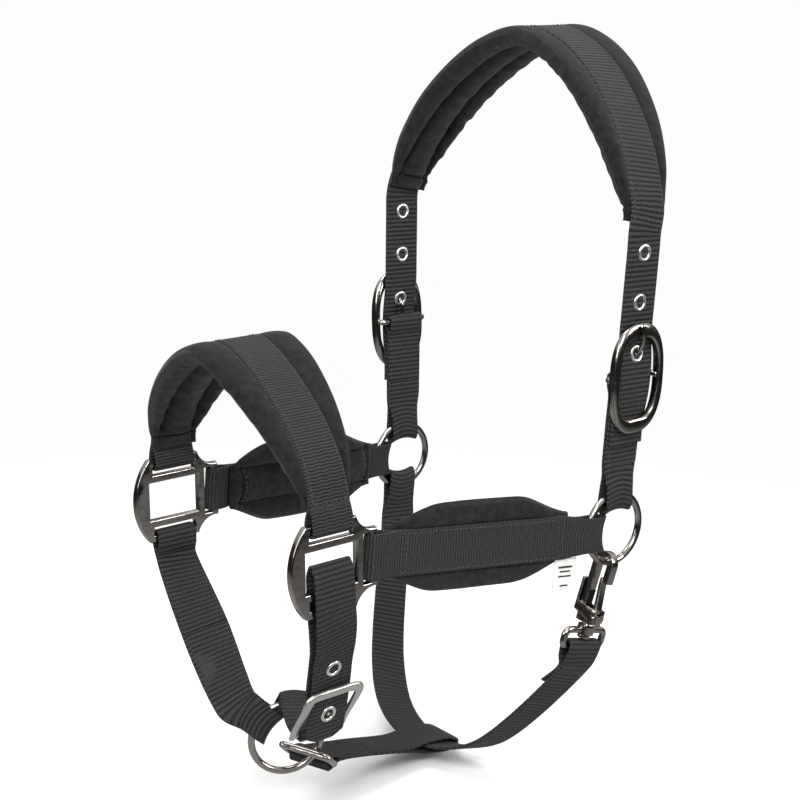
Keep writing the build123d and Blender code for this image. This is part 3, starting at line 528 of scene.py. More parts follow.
class Painter:
    """Builds each finish once and hands out its material."""

    def __init__(self) -> None:
        """Start with no materials."""
        self.made: dict[str, bpy.types.Material] = {}

    def give(self, finish: WebbingFinish | MetalFinish | ClothFinish) -> bpy.types.Material:
        """Material for a finish.

        Args:
            finish: Which look is wanted.

        Returns:
            The shared material.
        """
        if finish.name not in self.made:
            maker = {WebbingFinish: self.webbing, MetalFinish: self.metal, ClothFinish: self.cloth}
            self.made[finish.name] = maker[type(finish)](finish)
        return self.made[finish.name]

    def start(self, name: str) -> tuple[bpy.types.Material, bpy.types.NodeTree, bpy.types.Node]:
        """Begin a node material.

        Args:
            name: Its name.

        Returns:
            The material, its node tree and its surface shader.
        """
        material = bpy.data.materials.new(name)
        material.use_nodes = True
        tree = material.node_tree
        return material, tree, tree.nodes["Principled BSDF"]

    def maths(self, tree: bpy.types.NodeTree, operation: str,
              *values: float | bpy.types.NodeSocket) -> bpy.types.NodeSocket:
        """One arithmetic node.

        Args:
            tree: Node tree to add to.
            operation: Blender's name of the operation.
            values: Numbers or other sockets.

        Returns:
            The result.
        """
        node = tree.nodes.new("ShaderNodeMath")
        node.operation = operation
        for socket, value in zip(node.inputs, values):
            if isinstance(value, (int, float)):
                socket.default_value = value
            else:
                tree.links.new(value, socket)
        return node.outputs[0]

    def wave(self, tree: bpy.types.NodeTree, phase: bpy.types.NodeSocket) -> bpy.types.NodeSocket:
        """Row of rounded humps, |sin(pi * phase)|."""
        turned = self.maths(tree, "MULTIPLY", phase, math.pi)
        return self.maths(tree, "ABSOLUTE", self.maths(tree, "SINE", turned))

    def noise(self, tree: bpy.types.NodeTree, scale: float, detail: float,
              coordinates: bpy.types.NodeSocket) -> bpy.types.NodeSocket:
        """Noise value from coordinates.

        Args:
            tree: Node tree to add to.
            scale: Noise scale per metre.
            detail: Octaves of detail.
            coordinates: Where the noise is looked up.

        Returns:
            The noise value.
        """
        node = tree.nodes.new("ShaderNodeTexNoise")
        node.inputs["Scale"].default_value = scale
        node.inputs["Detail"].default_value = detail
        tree.links.new(coordinates, node.inputs["Vector"])
        return node.outputs["Fac"]

    def ramp(self, tree: bpy.types.NodeTree, value: bpy.types.NodeSocket, low: float, high: float,
             source: tuple[float, float] = (0.0, 1.0)) -> bpy.types.NodeSocket:
        """Map a value from its source range onto another range.

        Args:
            tree: Node tree to add to.
            value: The value.
            low: Result at the start of the source range.
            high: Result at its end.
            source: The source range.

        Returns:
            The mapped value.
        """
        node = tree.nodes.new("ShaderNodeMapRange")
        node.inputs["From Min"].default_value, node.inputs["From Max"].default_value = source
        tree.links.new(value, node.inputs["Value"])
        node.inputs["To Min"].default_value = low
        node.inputs["To Max"].default_value = high
        return node.outputs["Result"]

    def tint(self, tree: bpy.types.NodeTree, colour: tuple[float, float, float],
             amount: bpy.types.NodeSocket) -> bpy.types.NodeSocket:
        """Colour times a varying amount.

        Args:
            tree: Node tree to add to.
            colour: Base colour.
            amount: What it is multiplied by.

        Returns:
            The scaled colour.
        """
        node = tree.nodes.new("ShaderNodeVectorMath")
        node.operation = "SCALE"
        node.inputs[0].default_value = colour
        tree.links.new(amount, node.inputs["Scale"])
        return node.outputs["Vector"]

    def bump(self, tree: bpy.types.NodeTree, height: bpy.types.NodeSocket, depth: float,
             shader: bpy.types.Node, strength: float = 1.0) -> None:
        """Raise the surface by a height.

        Args:
            tree: Node tree to add to.
            height: Height between nought and about one.
            depth: Rise in metres for a height of one.
            shader: Surface shader that takes the normal.
            strength: Share of the effect.
        """
        node = tree.nodes.new("ShaderNodeBump")
        node.inputs["Strength"].default_value = strength
        node.inputs["Distance"].default_value = depth
        tree.links.new(height, node.inputs["Height"])
        tree.links.new(node.outputs["Normal"], shader.inputs["Normal"])

    def webbing(self, finish: WebbingFinish) -> bpy.types.Material:
        """Woven webbing: rounded cross ribs crossed by offset lengthwise yarns.

        Args:
            finish: Which webbing.

        Returns:
            The material, which reads the weave attribute of a strap's mesh.
        """
        material, tree, shader = self.start(finish.name)
        weave = tree.nodes.new("ShaderNodeAttribute")
        weave.attribute_name = "weave"
        parts = tree.nodes.new("ShaderNodeSeparateXYZ")
        tree.links.new(weave.outputs["Vector"], parts.inputs[0])
        across, along = parts.outputs[0], parts.outputs[1]
        object_space = tree.nodes.new("ShaderNodeTexCoord").outputs["Object"]
        drift = self.ramp(tree, self.noise(tree, 180.0, 2.0, object_space), -0.12, 0.12)
        lean = self.maths(tree, "MULTIPLY", self.maths(tree, "PINGPONG", across, 3.1), finish.slant)
        row = self.maths(tree, "DIVIDE", self.maths(tree, "ADD", along, lean), finish.rib_pitch)
        row = self.maths(tree, "ADD", row, drift)
        rib = self.wave(tree, row)
        shift = self.maths(tree, "MULTIPLY", self.maths(tree, "FLOOR", row), 0.5)
        column = self.maths(tree, "ADD", self.maths(tree, "DIVIDE", across, finish.yarn_pitch), shift)
        yarn = self.wave(tree, column)
        fibre = self.noise(tree, 2600.0, 3.0, object_space)
        height = self.maths(tree, "ADD", self.maths(tree, "MULTIPLY", rib, 0.6),
                            self.maths(tree, "MULTIPLY", yarn, 0.4))
        height = self.maths(tree, "ADD", height, self.maths(tree, "MULTIPLY", fibre, 0.22))
        self.bump(tree, height, 0.0007, shader)
        # Colour follows the weave's height: painted shade, nearly black, in the gaps between ribs and yarns,
        # and crowns lightened as if lit, with real fibre grain mixed in.
        shade = self.ramp(tree, self.maths(tree, "POWER", height, 2.6), 0.02, 3.4)
        wear = self.ramp(tree, self.noise(tree, 38.0, 4.0, object_space), 0.78, 1.22)
        amount = self.maths(tree, "MULTIPLY", shade, wear)
        tree.links.new(self.tint(tree, finish.colour, amount), shader.inputs["Base Color"])
        shader.inputs["Roughness"].default_value = 0.58
        shader.inputs["Sheen Weight"].default_value = 0.02
        shader.inputs["Sheen Roughness"].default_value = 0.4
        shader.inputs["Specular IOR Level"].default_value = 0.3
        return material

    def metal(self, finish: MetalFinish) -> bpy.types.Material:
        """Plated metal with faint clouding and fine polishing marks.

        Args:
            finish: Which plating.

        Returns:
            The material.
        """
        material, tree, shader = self.start(finish.name)
        object_space = tree.nodes.new("ShaderNodeTexCoord").outputs["Object"]
        cloud = self.noise(tree, 95.0, 3.0, object_space)
        shade = self.ramp(tree, cloud, 1.0 - finish.mottle, 1.0 + finish.mottle)
        tree.links.new(self.tint(tree, finish.colour, shade), shader.inputs["Base Color"])
        rough = self.ramp(tree, self.noise(tree, 420.0, 4.0, object_space),
                          finish.roughness - 0.06, finish.roughness + 0.08)
        tree.links.new(rough, shader.inputs["Roughness"])
        shader.inputs["Metallic"].default_value = 1.0
        swell = self.maths(tree, "ADD", self.noise(tree, 70.0, 2.0, object_space),
                           self.maths(tree, "MULTIPLY", self.noise(tree, 420.0, 2.0, object_space), 0.12))
        self.bump(tree, swell, 0.0009, shader, 0.5)
        return material

    def cloth(self, finish: ClothFinish) -> bpy.types.Material:
        """Napped or satin cloth: mottled nap over a fine grain.

        Args:
            finish: Which cloth.

        Returns:
            The material.
        """
        material, tree, shader = self.start(finish.name)
        object_space = tree.nodes.new("ShaderNodeTexCoord").outputs["Object"]
        nap = self.noise(tree, 260.0, 6.0, object_space)
        grain = self.noise(tree, 1700.0, 3.0, object_space)
        both = self.maths(tree, "ADD", self.maths(tree, "MULTIPLY", nap, 0.55),
                          self.maths(tree, "MULTIPLY", grain, 0.45))
        shade = self.ramp(tree, both, 1.0 - 0.62 * finish.grain, 1.0 + 0.95 * finish.grain, (0.36, 0.64))
        tree.links.new(self.tint(tree, finish.colour, shade), shader.inputs["Base Color"])
        shader.inputs["Roughness"].default_value = finish.roughness
        shader.inputs["Sheen Weight"].default_value = finish.sheen
        shader.inputs["Sheen Roughness"].default_value = 0.55
        shader.inputs["Sheen Tint"].default_value = (0.55, 0.55, 0.58, 1.0)
        shader.inputs["Specular IOR Level"].default_value = 0.12
        self.bump(tree, both, 0.0008, shader, 0.9 * finish.grain)
        return material


# ------------------------------------------------------------------ soft pieces
@dataclass(frozen=True)
class Hug:
    """How a strap end follows the curve of a round ring it is folded on.

    A point at distance w along the ring's tangent moves to the arc angle
    w * pinch / R, fading out with distance from the wire.

    Args:
        centre: Ring's centre.
        spoke: Direction from the centre to the strap's bar point.
        tangent: Direction of the ring there.
        pinch: Share of the width kept on the ring.
        near: Distance from the wire up to which the strap follows it fully.
        far: Distance at which the strap is flat again.
    """

    centre: Array
    spoke: Array
    tangent: Array
    pinch: float = 0.84
    near: float = 6.0
    far: float = 20.0

    def bend(self, spots: Array) -> Array:
        """Move points onto the ring's arc.

        Args:
            spots: Points in the last axis.

        Returns:
            The moved points.
        """
        axis = np.cross(self.spoke, self.tangent)
        offset = spots - (self.centre + self.spoke * RING_RADIUS)
        u, w, h = offset @ self.spoke, offset @ self.tangent, offset @ axis
        share = np.clip((self.far - np.hypot(u, h)) / (self.far - self.near), 0, 1)
        share = share * share * (3 - 2 * share) * (np.abs(w) < 16)
        angle = w * self.pinch / RING_RADIUS
        inward = share * RING_RADIUS * (np.cos(angle) - 1)
        along = share * (RING_RADIUS * np.sin(angle) - w)
        return spots + inward[..., None] * self.spoke + along[..., None] * self.tangent


@dataclass
class Strap:
    """Webbing that follows a curve, with its weave kept on the mesh.

    Args:
        name: Name of the piece.
        points: Control points of the centre line.
        across: Width direction at each control point.
        finish: Webbing finish.
        width: Width in millimetres.
        thick: Thickness in millimetres.
        ribs: Height of the cross ribs in millimetres.
        step: Spacing of the cross-sections in millimetres.
        tip: Length over which the end narrows, nought for a square end.
        hugs: Rings whose arcs the strap's ends follow.
    """

    name: str
    points: Array
    across: Array
    finish: WebbingFinish = COARSE_WEBBING
    width: float = WEB_WIDTH
    thick: float = WEB_THICK
    ribs: float = 0.2
    step: float = 0.68
    tip: float = 0.0
    hugs: tuple[Hug, ...] = ()

    def __post_init__(self) -> None:
        """Work out the centre line and its directions."""
        self.centre, self.length, self.along, self.wide = follow(self.points, self.across, 24, self.step)
        self.normal = np.cross(self.wide, self.along)

    @property
    def total(self) -> float:
        """Length of the strap in millimetres."""
        return float(self.length[-1])

    def nearest(self, spot: Array, low: float = -1.0, high: float = math.inf) -> float:
        """Length along the strap nearest to a place.

        Args:
            spot: The place.
            low: Lengths up to this one are left out.
            high: Lengths from this one on are left out.

        Returns:
            The length in millimetres.
        """
        inside = (self.length > low) & (self.length < high)
        away = np.linalg.norm(self.centre[inside] - np.asarray(spot, float), axis=1)
        return float(self.length[inside][np.argmin(away)])

    def place(self, s: Array, w: Array, face: Face) -> tuple[Array, Array]:
        """Points on a face of the strap and the directions out of it.

        Args:
            s: Lengths along the strap.
            w: Distances from its centre line.
            face: Which face.

        Returns:
            Points and outward directions.
        """
        s, w = np.broadcast_arrays(np.asarray(s, float), np.asarray(w, float))
        pick = values_at(s, self.length, (self.centre, self.wide, self.normal))
        out = unit(pick[2]) * face.value
        spots = pick[0] + pick[1] * w[..., None] + out * (self.thick / 2 + self.ribs * 0.6)
        for hug in self.hugs:
            spots = hug.bend(spots)
        return spots, out

    def build(self, painter: Painter) -> bpy.types.Object:
        """Mesh of the strap.

        The section is a flat rounded oblong. Both faces are raised by
        ribs * |sin(pi s / pitch)|, fading out at the selvages, where a thin
        rolled edge stands instead. With a tip, the end narrows to a point
        with cut corners.

        Args:
            painter: Source of materials.

        Returns:
            The finished object.
        """
        across, round_edge = 15, 5
        flat = np.linspace(-1, 1, across)
        flat = np.sign(flat) * np.abs(flat) ** 0.85
        half = self.width / 2
        edge = self.thick / 2
        bend = np.linspace(math.pi / 2, -math.pi / 2, round_edge + 2)[1:-1]
        top = np.stack([flat * (half - edge), np.full_like(flat, edge)], axis=1)
        right = np.stack([half - edge + np.cos(bend) * edge, np.sin(bend) * edge], axis=1)
        section = np.vstack([top, right, -top, -right])
        side = np.repeat([1.0, 0.0, -1.0, 0.0], [across, round_edge, across, round_edge])
        share = np.abs(section[:, 0]) / half
        fade = np.clip((SELVAGE - share) / 0.05, 0, 1)
        row = np.abs(np.sin(math.pi * self.length / self.finish.rib_pitch))
        lift = self.ribs * row[:, None] * (side * fade)[None]
        welt = SELVAGE_LIFT * np.exp(-((share - SELVAGE) / 0.03) ** 2) * side
        grid = np.broadcast_to(section, (len(self.centre),) + section.shape).copy()
        grid[..., 1] += lift + welt[None]
        if self.tip > 0:
            left = np.clip((self.total - self.length) / self.tip, 0, 1)
            limit = half * (TIP_SHARE + (1 - TIP_SHARE) * left)[:, None]
            grid[..., 0] = np.clip(grid[..., 0], -limit, limit)
        vertices = (self.centre[:, None] + grid[..., :1] * self.wide[:, None]
                    + grid[..., 1:] * self.normal[:, None])
        for hug in self.hugs:
            vertices = hug.bend(vertices)
        weave = np.zeros_like(vertices)
        weave[..., 0] = grid[..., 0]
        weave[..., 1] = self.length[:, None]
        weave[..., 2] = side
        rows, columns = vertices.shape[:2]
        piece = make_mesh(self.name, vertices.reshape(-1, 3), grid_faces(rows, columns, False, True),
                          end_caps(rows, columns), weave.reshape(-1, 3))
        piece.data.materials.append(painter.give(self.finish))
        return piece


@dataclass
class SeamLine:
    """A run of stitches on a strap face, from one (s, w) to another.

    Args:
        start: Length along and distance across where it starts.
        end: The same where it ends.
        face: Face it shows on.
    """

    start: tuple[float, float]
    end: tuple[float, float]
    face: Face = Face.OUTER


def sew(name: str, surface: "Strap | Pad", lines: list[SeamLine], painter: Painter) -> bpy.types.Object:
    """Stitches along lines on a surface that can place (s, w) points.

    Args:
        name: Name of the piece.
        surface: Object with a place method.
        lines: Seam lines.
        painter: Source of materials.

    Returns:
        One object holding every stitch.
    """
    starts, ends, lifts = [], [], []
    for line in lines:
        a, b = np.array(line.start, float), np.array(line.end, float)
        count = max(1, int(round(np.linalg.norm(b - a) / STITCH_PITCH)))
        share = np.arange(count) / count
        first = a + (b - a) * share[:, None]
        last = first + (b - a) / count * STITCH_SHARE
        p, out = surface.place(first[:, 0], first[:, 1], line.face)
        q, _ = surface.place(last[:, 0], last[:, 1], line.face)
        starts.append(p)
        ends.append(q)
        lifts.append(out)
    piece = stitch_mesh(name, np.vstack(starts), np.vstack(ends), np.vstack(lifts), THREAD_THICK)
    piece.data.materials.append(painter.give(THREAD))
    return piece


@dataclass
class Pad:
    """Padded lining: a long cushion quilted into three channels.

    The outer face is pinched in where the webbing is sewn on, and swells
    beyond it. The inner face has a channel seam under each of those rows,
    and a cross seam near each end.

    Args:
        name: Name of the piece.
        points: Control points of the webbing's centre line.
        across: Width direction at each control point.
        half_width: Rows of (share along, half width in millimetres).
        seam: Distance of the channel seams from the middle.
        depth: Full thickness in millimetres.
        puff: How far the wings swell past the webbing's inner face.
        end_seam: Length from each end to its cross seam.
        wrinkle: Height of the creases in millimetres.
        seed: Start of the crease pattern.
        offset: How far the pad lies under the webbing's centre line.
        columns: Samples across each face.
        flip: -1 turns the pad to the curve's other face.
        step: Spacing of the cross-sections in millimetres.
    """

    name: str
    points: Array
    across: Array
    half_width: list[tuple[float, float]]
    seam: float = SEAM_EDGE
    depth: float = 9.0
    puff: float = 2.2
    end_seam: float = 9.0
    wrinkle: float = 0.35
    seed: int = 3
    offset: float = 0.9
    columns: int = 92
    flip: float = 1.0
    step: float = 1.3

    def __post_init__(self) -> None:
        """Work out the line the pad follows and its directions."""
        self.centre, self.length, self.along, self.wide = follow(self.points, self.across, 30, self.step)
        self.normal = np.cross(self.wide, self.along) * self.flip
        self.total = float(self.length[-1])
        share, half = np.array(self.half_width, float).T
        rough = np.interp(self.length / self.total, share, half)
        kernel = np.hanning(19)
        padded = np.concatenate([np.full(9, rough[0]), rough, np.full(9, rough[-1])])
        self.half = np.convolve(padded, kernel / kernel.sum(), "valid")

    def closing(self, s: Array) -> Array:
        """How full the pad is at a length: nought at both cut ends."""
        near = np.minimum(s, self.total - s)
        return np.clip(near / 7.0, 0, 1) ** 0.5

    def creases(self, s: Array, w: Array) -> Array:
        """Soft creases: a sum of slanting waves of random length and phase.

        Args:
            s: Lengths along the pad.
            w: Distances from its middle.

        Returns:
            Heights between about -1 and 1.
        """
        rng = np.random.default_rng(self.seed)
        total = np.zeros(np.broadcast(s, w).shape)
        for _ in range(9):
            lean = rng.normal(0, 0.35)
            wave = rng.uniform(7.0, 24.0)
            phase = rng.uniform(0, 2 * math.pi)
            pocket = np.sin(s / rng.uniform(19, 47) + rng.uniform(0, 6.3)) ** 2
            total = total + np.sin(2 * math.pi * (s + lean * w) / wave + phase) * pocket
        return total / 5.0

    def profile(self, s: Array, w: Array, half: Array, face: Face) -> Array:
        """Height of a face above the webbing's inner surface.

        Each channel is a flattened arch between its two seams, and each
        wing an arch from the seam to the rolled edge.

        Args:
            s: Lengths along the pad.
            w: Distances from its middle.
            half: Half width there.
            face: Which face.

        Returns:
            Heights, negative towards the head.
        """
        share = np.clip(np.abs(w) / half, 0, 1)
        seam = np.minimum(self.seam, half * 0.8)
        inside = np.abs(w) < seam
        wing_place = np.clip((np.abs(w) - seam) / np.maximum(half - seam, 0.5), 0, 1)
        wing = np.clip(1 - (2 * wing_place - 1) ** 2, 0, 1) ** 0.5
        wing_size = np.clip((half - seam) / 9.0, 0.15, 1.0)
        crossing = 1 - 0.62 * np.exp(-((np.minimum(s, self.total - s) - self.end_seam) / 1.6) ** 2)
        full = self.closing(s) * crossing
        pinch = -self.depth * 0.24
        if face is Face.OUTER:
            under_webbing = -0.15
            swell = pinch * 0.5 + (self.puff - pinch * 0.5) * wing * wing_size
            soft = np.clip((np.abs(w) - seam) / 2.0, 0, 1)
            height = np.where(inside, under_webbing, under_webbing * (1 - soft) + swell * soft)
            height = height * full + pinch * 0.6 * (1 - full)
        else:
            middle = np.clip(1 - (w / seam) ** 2, 0, 1) ** 0.55
            floor = pinch * 1.25
            channel = floor - (self.depth + floor) * middle
            flank = floor - (self.depth * 0.92 + floor) * wing * np.maximum(wing_size, 0.5)
            height = np.where(inside, channel, flank) * full + pinch * 0.9 * (1 - full)
        edge = np.clip((share - 0.90) / 0.10, 0, 1)
        if face is Face.INNER:
            height = height + self.wrinkle * self.creases(s, w) * full * (1 - edge)
        rolled = -self.depth * 0.30
        return height * (1 - edge ** 2) + rolled * edge ** 2

    def place(self, s: Array, w: Array, face: Face) -> tuple[Array, Array]:
        """Points on a face of the pad and the directions out of it.

        Args:
            s: Lengths along the pad.
            w: Distances from its middle.
            face: Which face.

        Returns:
            Points and outward directions.
        """
        s, w = np.broadcast_arrays(np.asarray(s, float), np.asarray(w, float))
        pick = values_at(s, self.length, (self.centre, self.wide, self.normal))
        half = np.interp(s, self.length, self.half)
        height = self.profile(s, w, half, face) - self.offset
        normal = unit(pick[2])
        return pick[0] + pick[1] * w[..., None] + normal * height[..., None], normal * face.value

    def build(self, painter: Painter) -> bpy.types.Object:
        """Closed mesh of the pad.

        Args:
            painter: Source of materials.

        Returns:
            The finished object.
        """
        turn = np.linspace(-1, 1, self.columns)
        turn = np.sin(turn * math.pi / 2)
        s = self.length[:, None]
        w = self.half[:, None] * turn[None]
        half = np.broadcast_to(self.half[:, None], w.shape)
        s = np.broadcast_to(s, w.shape)
        sheets = []
        for face in (Face.OUTER, Face.INNER):
            height = self.profile(s, w, half, face) - self.offset
            sheets.append(self.centre[:, None] + self.wide[:, None] * w[..., None]
                          + self.normal[:, None] * height[..., None])
        ring = np.concatenate([sheets[0], sheets[1][:, ::-1][:, 1:-1]], axis=1)
        rows, columns = ring.shape[:2]
        piece = make_mesh(self.name, ring.reshape(-1, 3), grid_faces(rows, columns, False, True),
                          end_caps(rows, columns))
        piece.data.materials.append(painter.give(MICROFIBRE))
        return piece


# ------------------------------------------------------------------ shared places
def side_spot(out: float, up: float) -> Array:
    """Place on the right side strap, which leans out and back as it rises.

    Args:
        out: Distance out from the strap's middle.
        up: Distance up the strap from the cheek ring's centre.

    Returns:
        The place.
    """
    rise = up - RING_RADIUS
    across = RING_SPREAD + out * math.cos(SIDE_LEAN) + rise * math.sin(SIDE_LEAN)
    height = RING_RADIUS + rise * math.cos(SIDE_LEAN) - out * math.sin(SIDE_LEAN)
    return np.array([SIDE_RAKE * up, across, height])


def chin_place(back: float, out: float, up: float) -> Array:
    """Place in the chin buckle's own directions.

    Args:
        back: Distance towards the poll.
        out: Distance out from the head.
        up: Distance up the strap.

    Returns:
        The place.
    """
    down = np.array([0, math.sin(CHIN_LEAN), -math.cos(CHIN_LEAN)])
    outward = np.array([0, -math.cos(CHIN_LEAN), -math.sin(CHIN_LEAN)])
    return CHIN_BUCKLE_CENTRE + np.array([back, 0, 0]) + outward * out - down * up


def chin_spoke(degrees: float) -> tuple[Array, Array]:
    """Directions on the chin ring.

    Args:
        degrees: Turn from the ring's rear point, upward.

    Returns:
        Direction out from the centre and the tangent there.
    """
    rearward = np.array([math.cos(CHIN_RING_YAW), -math.sin(CHIN_RING_YAW), 0])
    turn = math.radians(degrees)
    up = np.array([0, 0, 1.0])
    return (rearward * math.cos(turn) + up * math.sin(turn),
            -rearward * math.sin(turn) + up * math.cos(turn))


def fold_round(bar: Array, out: Array, away: Array, inside: float, half: float, gap: float,
               reach: float) -> Array:
    """Points of a strap folded round a bar, from one face to the other.

    Args:
        bar: Centre of the bar or wire.
        out: Direction out of the strap's outer face.
        away: Direction in which the strap leaves.
        inside: Distance from the bar to the fold's inner face.
        half: Half thickness of the loop's cavity.
        gap: Distance of the two layers from the middle once they lie together.
        reach: Distance at which the layers meet.

    Returns:
        Control points going down the outer layer and up the inner one.
    """
    t = WEB_THICK / 2
    rows = [(gap, reach), (half * 0.72 + t, reach * 0.52), (half + t, inside * 0.05),
            (half + t, -inside * 0.55), (half * 0.55, -inside - t * 0.75), (0.0, -inside - t),
            (-half * 0.55, -inside - t * 0.75), (-half - t, -inside * 0.55),
            (-half - t, inside * 0.05), (-half * 0.72 - t, reach * 0.52), (-gap, reach)]
    return np.array([bar + out * o + away * a for o, a in rows])


def boxed_rows(first: float, last: float, crossings: tuple[float, ...],
               face: Face = Face.OUTER) -> list[SeamLine]:
    """Two rows along the selvages of a strap, with rows across between them.

    Args:
        first: Length where the long rows start.
        last: Length where they end.
        crossings: Lengths of the rows across.
        face: Face they show on.

    Returns:
        The seam lines.
    """
    rows = [SeamLine((first, w), (last, w), face) for w in (-SEAM_EDGE, SEAM_EDGE)]
    return rows + [SeamLine((s, -SEAM_EDGE), (s, SEAM_EDGE), face) for s in crossings]


def both_ends(half: list[tuple[float, float]]) -> list[tuple[float, float]]:
    """Rows of (share, width) up to the middle, followed by their mirror image."""
    return half + [(1.0 - share, width) for share, width in reversed(half[:-1])]


# ------------------------------------------------------------------ sub-assemblies
@dataclass
class Assembly:
    """Something that builds pieces and fastens them to a CAD body."""

    painter: Painter
    pieces: list[bpy.types.Object] = field(default_factory=list)

    def keep(self, piece: bpy.types.Object, body: str, slot: str,
             nodes: tuple[str, ...] = ()) -> bpy.types.Object:
        """Fasten a piece to a body and hide the CAD nodes it replaces.

        Args:
            piece: The piece.
            body: CAD body it moves with.
            slot: Material slot of the record; not used.
            nodes: CAD nodes it replaces.

        Returns:
            The same piece.
        """
        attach(piece, body)
        if nodes:
            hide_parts(*nodes)
        self.pieces.append(piece)
        log.info("built %s", piece.name)
        return piece

    def strap(self, strap: Strap, body: str, nodes: tuple[str, ...] = ()) -> bpy.types.Object:
        """Build a strap and fasten it; nodes are the CAD nodes it replaces."""
        return self.keep(strap.build(self.painter), body, "webbing", nodes)

    def seams(self, name: str, surface: Strap | Pad, lines: list[SeamLine], body: str,
              slot: str = "webbing") -> None:
        """Sew lines on a surface and fasten the thread to the same body."""
        self.keep(sew(name, surface, lines, self.painter), body, slot)

    def cushion(self, pad: Pad, body: str, nodes: tuple[str, ...], fill: float) -> bpy.types.Object:
        """Args:
            pad: The pad.
            body: CAD body it moves with.
            nodes: CAD nodes it replaces.
            fill: How firmly it is filled, from nought to one; not used.

        Returns:
            The finished piece.
        """
        piece = self.keep(pad.build(self.painter), body, "pad_cover", nodes)
        return piece

    def pad_seams(self, name: str, pad: Pad, body: str) -> None:
        """Channel seams and cross seams on the inner face of a pad.

        Args:
            name: Name of the piece.
            pad: The pad.
            body: CAD body it moves with.
        """
        edge = 9.0
        rows = [SeamLine((edge, w), (pad.total - edge, w), Face.INNER) for w in (-pad.seam, pad.seam)]
        for s in (edge, pad.total - edge):
            half = float(np.interp(s, pad.length, pad.half)) * 0.86
            rows.append(SeamLine((s, -half), (s, half), Face.INNER))
        self.seams(name, pad, rows, body, "pad_cover")

    def metal(self, piece: bpy.types.Object, finish: MetalFinish, body: str, slot: str,
              nodes: tuple[str, ...] = ()) -> bpy.types.Object:
        """Give a piece a metal finish and fasten it.

        Args:
            piece: The piece.
            finish: Its plating.
            body: CAD body it moves with.
            slot: Material slot of the record.
            nodes: CAD nodes it replaces.

        Returns:
            The same piece.
        """
        piece.data.materials.clear()
        piece.data.materials.append(self.painter.give(finish))
        return self.keep(piece, body, slot, nodes)


CROWN_WOVEN = [(3.3, 50), (3.3, 58), (3.7, 66), (5.2, 78), (5.6, 88), (5.2, 96), (3.9, 106),
               (3.2, 114), (3.2, 124), (3.2, 134), (3.2, 146), (3.2, 158), (3.0, 168)]
CROWN_ARCH = [(10.2, 102.6, 180), (12.2, 97.6, 194), (16.4, 87, 213), (21.4, 70, 234),
              (26.6, 48, 253), (29.8, 24, 266.5)]
CROWN_TOP = (31.0, 0.0, 272.5)
CROWN_PAD_START = 172.0
# The oval frame's half sizes, its path's distance in from the edge, the height
# of its face over that path, and the thickness of its bar.
OVAL_HALF_WIDTH = 19.0
OVAL_HALF_HEIGHT = 31.0
OVAL_INSET = 2.9
OVAL_FACE = 1.65
OVAL_BAR = 3.4
EYELET_HEIGHTS = (101.6, 130.0, 157.0)


